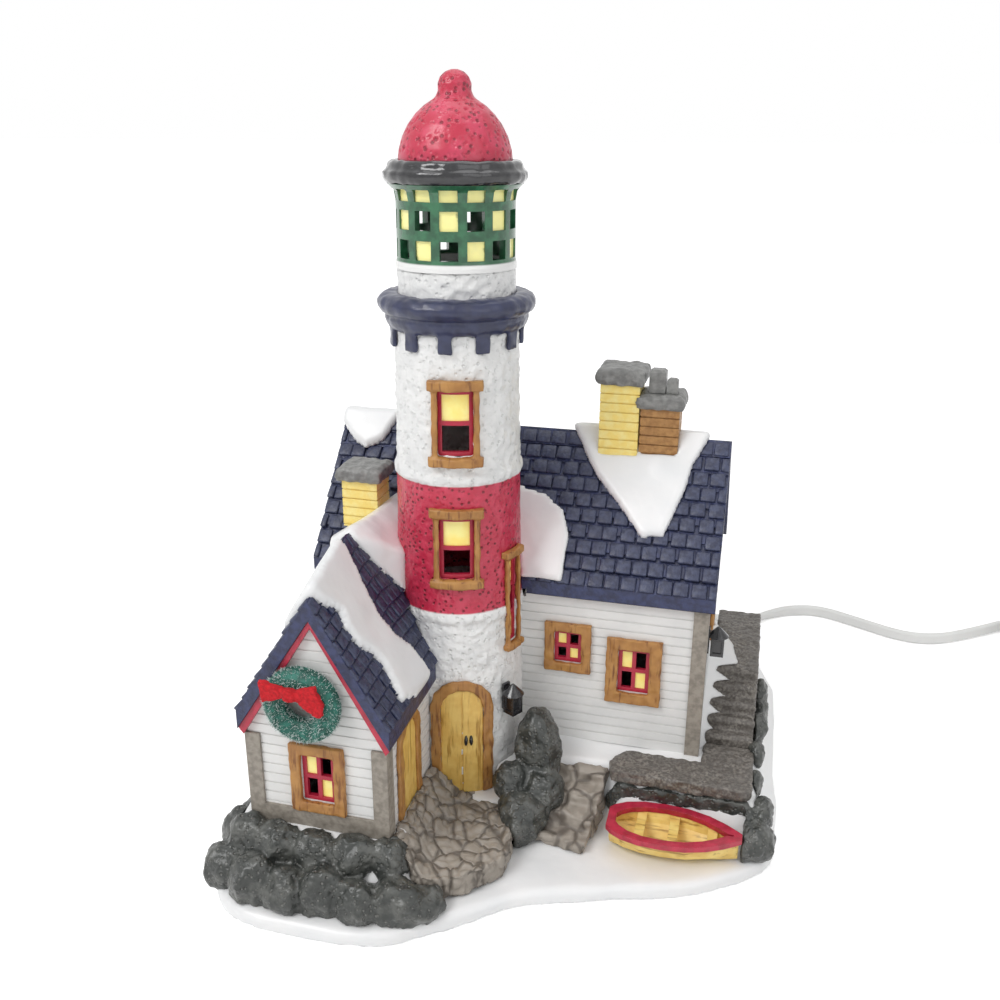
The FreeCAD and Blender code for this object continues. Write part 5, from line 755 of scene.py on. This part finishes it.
def bristles(name, count, root, reach, thick, paint):
    """Thin three-sided spikes round the wreath's ring; they start at radius root and are reach long."""
    spikes = bmesh.new()
    middle = Vector(WREATH_AT)
    for _ in range(count):
        turn, roll = random.uniform(0, 2 * math.pi), random.uniform(0, 2 * math.pi)
        spoke = Vector((math.cos(turn), 0, math.sin(turn)))
        out = spoke * math.cos(roll) + Vector((0, -1, 0)) * math.sin(roll)
        lean = Vector([random.gauss(0, LEAN) for _ in range(3)])
        way = (out + lean).normalized()
        at = middle + spoke * WREATH_R + out * root
        tip = at + way * random.uniform(*reach)
        if tip.y > WREATH_AT[1] + WREATH_T - 0.2:
            continue
        side = way.orthogonal().normalized() * thick
        other = way.cross(side)
        ring = [at + side, at - side * 0.5 + other * 0.87, at - side * 0.5 - other * 0.87]
        ring = [spikes.verts.new(corner * MM) for corner in ring]
        top = spikes.verts.new(tip * MM)
        for number in range(3):
            spikes.faces.new((ring[number], ring[(number + 1) % 3], top))
        spikes.faces.new(ring[::-1])
    from_bmesh(name, spikes, paint)


bristles("wreath_needles", NEEDLES, 2.2, (0.9, 2.1), 0.16, NEEDLE_PAINT)
bristles("wreath_tips", TIPS, 2.8, (0.7, 1.7), 0.17, TIP_PAINT)

# ---------------------------------------------------------------- the door's handles

# turns from the front in degrees, distance from the tower's axis, height and half sizes
HANDLE_TURNS, HANDLE_R, HANDLE_Z = (20.9, 25.4), 21.5, 32.6
HANDLE_HALF = (0.6, 0.6, 1.9)


def handle(turn):
    """A small dark pull, longer than wide, on the tower door's leaf."""
    shape = bmesh.new()
    bmesh.ops.create_icosphere(shape, subdivisions=3, radius=1.0)
    angle = math.radians(turn)
    middle = Vector((TOWER_X + HANDLE_R * math.sin(angle), TOWER_Y - HANDLE_R * math.cos(angle), HANDLE_Z))
    for vertex in shape.verts:
        swell = 1 + 0.15 * noise.noise(vertex.co * 1.7 + middle)
        vertex.co = (middle + vertex.co * Vector(HANDLE_HALF) * swell) * MM
    shaded_smooth(from_bmesh("door_handle", shape, BLACK_PAINT).data)


for turn in HANDLE_TURNS:
    handle(turn)

# ---------------------------------------------------------------- the lead

COIL_X, COIL_Y, COIL_R = 228.0, 150.0, 39.5
COIL_PITCH, COIL_LAYER, COIL_TURNS = 5.8, 5.75, 4
COIL_LOW = 3.9
LEAD_WIDE, LEAD_THICK = 5.2, 2.7
RELIEF_END = (20, 100, 44)
LEAD = [
    RELIEF_END, (20, 112, 43), (22, 128, 35), (28, 141, 18), (38, 149, 6), (52, 150, 2.65),
    (66, 149, 2.65), (75.5, 152, 2.65), (83.5, 160, 2.65), (93, 167, 2.65), (107, 170, 2.65),
    (124.5, 161, 2.65), (141.5, 152, 2.65), (154.5, 152, 2.65), (168.5, 159.5, 2.65),
    (207.8, 189.5, COIL_LOW),
]
TAIL = [
    (246, 189, 8.9), (262, 184, 5), (276, 172, 2.65), (284, 157, 3.5), (286, 148, 5.5), (286, 142, 5.5),
]
COIL_STEPS = 8
COIL_SWELL = 1 / math.cos(math.pi / COIL_STEPS / 2)
# the lead stops lying flat over the LYING_FADE points before point LYING_UNTIL
LYING_UNTIL, LYING_FADE = 9, 4


def coil_points():
    """Turns inward on the lower layer, a climbing half turn, and turns outward on the upper layer."""
    halves = 2 * COIL_TURNS
    radii = [COIL_R - number * COIL_PITCH / 2 for number in range(halves + 1)]
    radii += [COIL_R - number * COIL_PITCH / 2 for number in range(halves - 1, 0, -1)]
    x, y, z = COIL_X, COIL_Y + COIL_R, COIL_LOW
    points = [(x, y, z)]
    for number, radius in enumerate(radii):
        side = 1 if number % 2 == 0 else -1
        rise = COIL_LAYER if number == halves else 0.0
        middle = y - side * radius
        for step in range(1, COIL_STEPS + 1):
            angle = math.pi * (step - 0.5) / COIL_STEPS
            out = side * radius * COIL_SWELL
            height = z + rise * step / COIL_STEPS
            points.append((x + out * math.sin(angle), middle + out * math.cos(angle), height))
        y -= 2 * side * radius
        z += rise
    return points


def lead():
    """The flat lead in one piece, lying on its side at first and standing on edge in the coil."""
    points = LEAD + coil_points() + TAIL
    data = bpy.data.curves.new("lead", "CURVE")
    data.dimensions = "3D"
    data.twist_mode = "Z_UP"
    spline = data.splines.new("NURBS")
    spline.points.add(len(points) - 1)
    for number, (point, place) in enumerate(zip(spline.points, points)):
        point.co = (*mm(*place), 1.0)
        lying = max(0.0, min(1.0, (LYING_UNTIL - number) / LYING_FADE))
        point.tilt = math.pi / 2 * lying
    spline.order_u = 3
    spline.use_endpoint_u = True
    spline.resolution_u = 6
    data.bevel_depth = LEAD_THICK / 2 * MM
    data.extrude = (LEAD_WIDE - LEAD_THICK) / 2 * MM
    data.bevel_resolution = 3
    made = linked("lead", data)
    wear(made, CORD_PAINT)
    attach(made, "lamp")
    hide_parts("cord_lead", "cord_coil", "cord_tail")


lead()
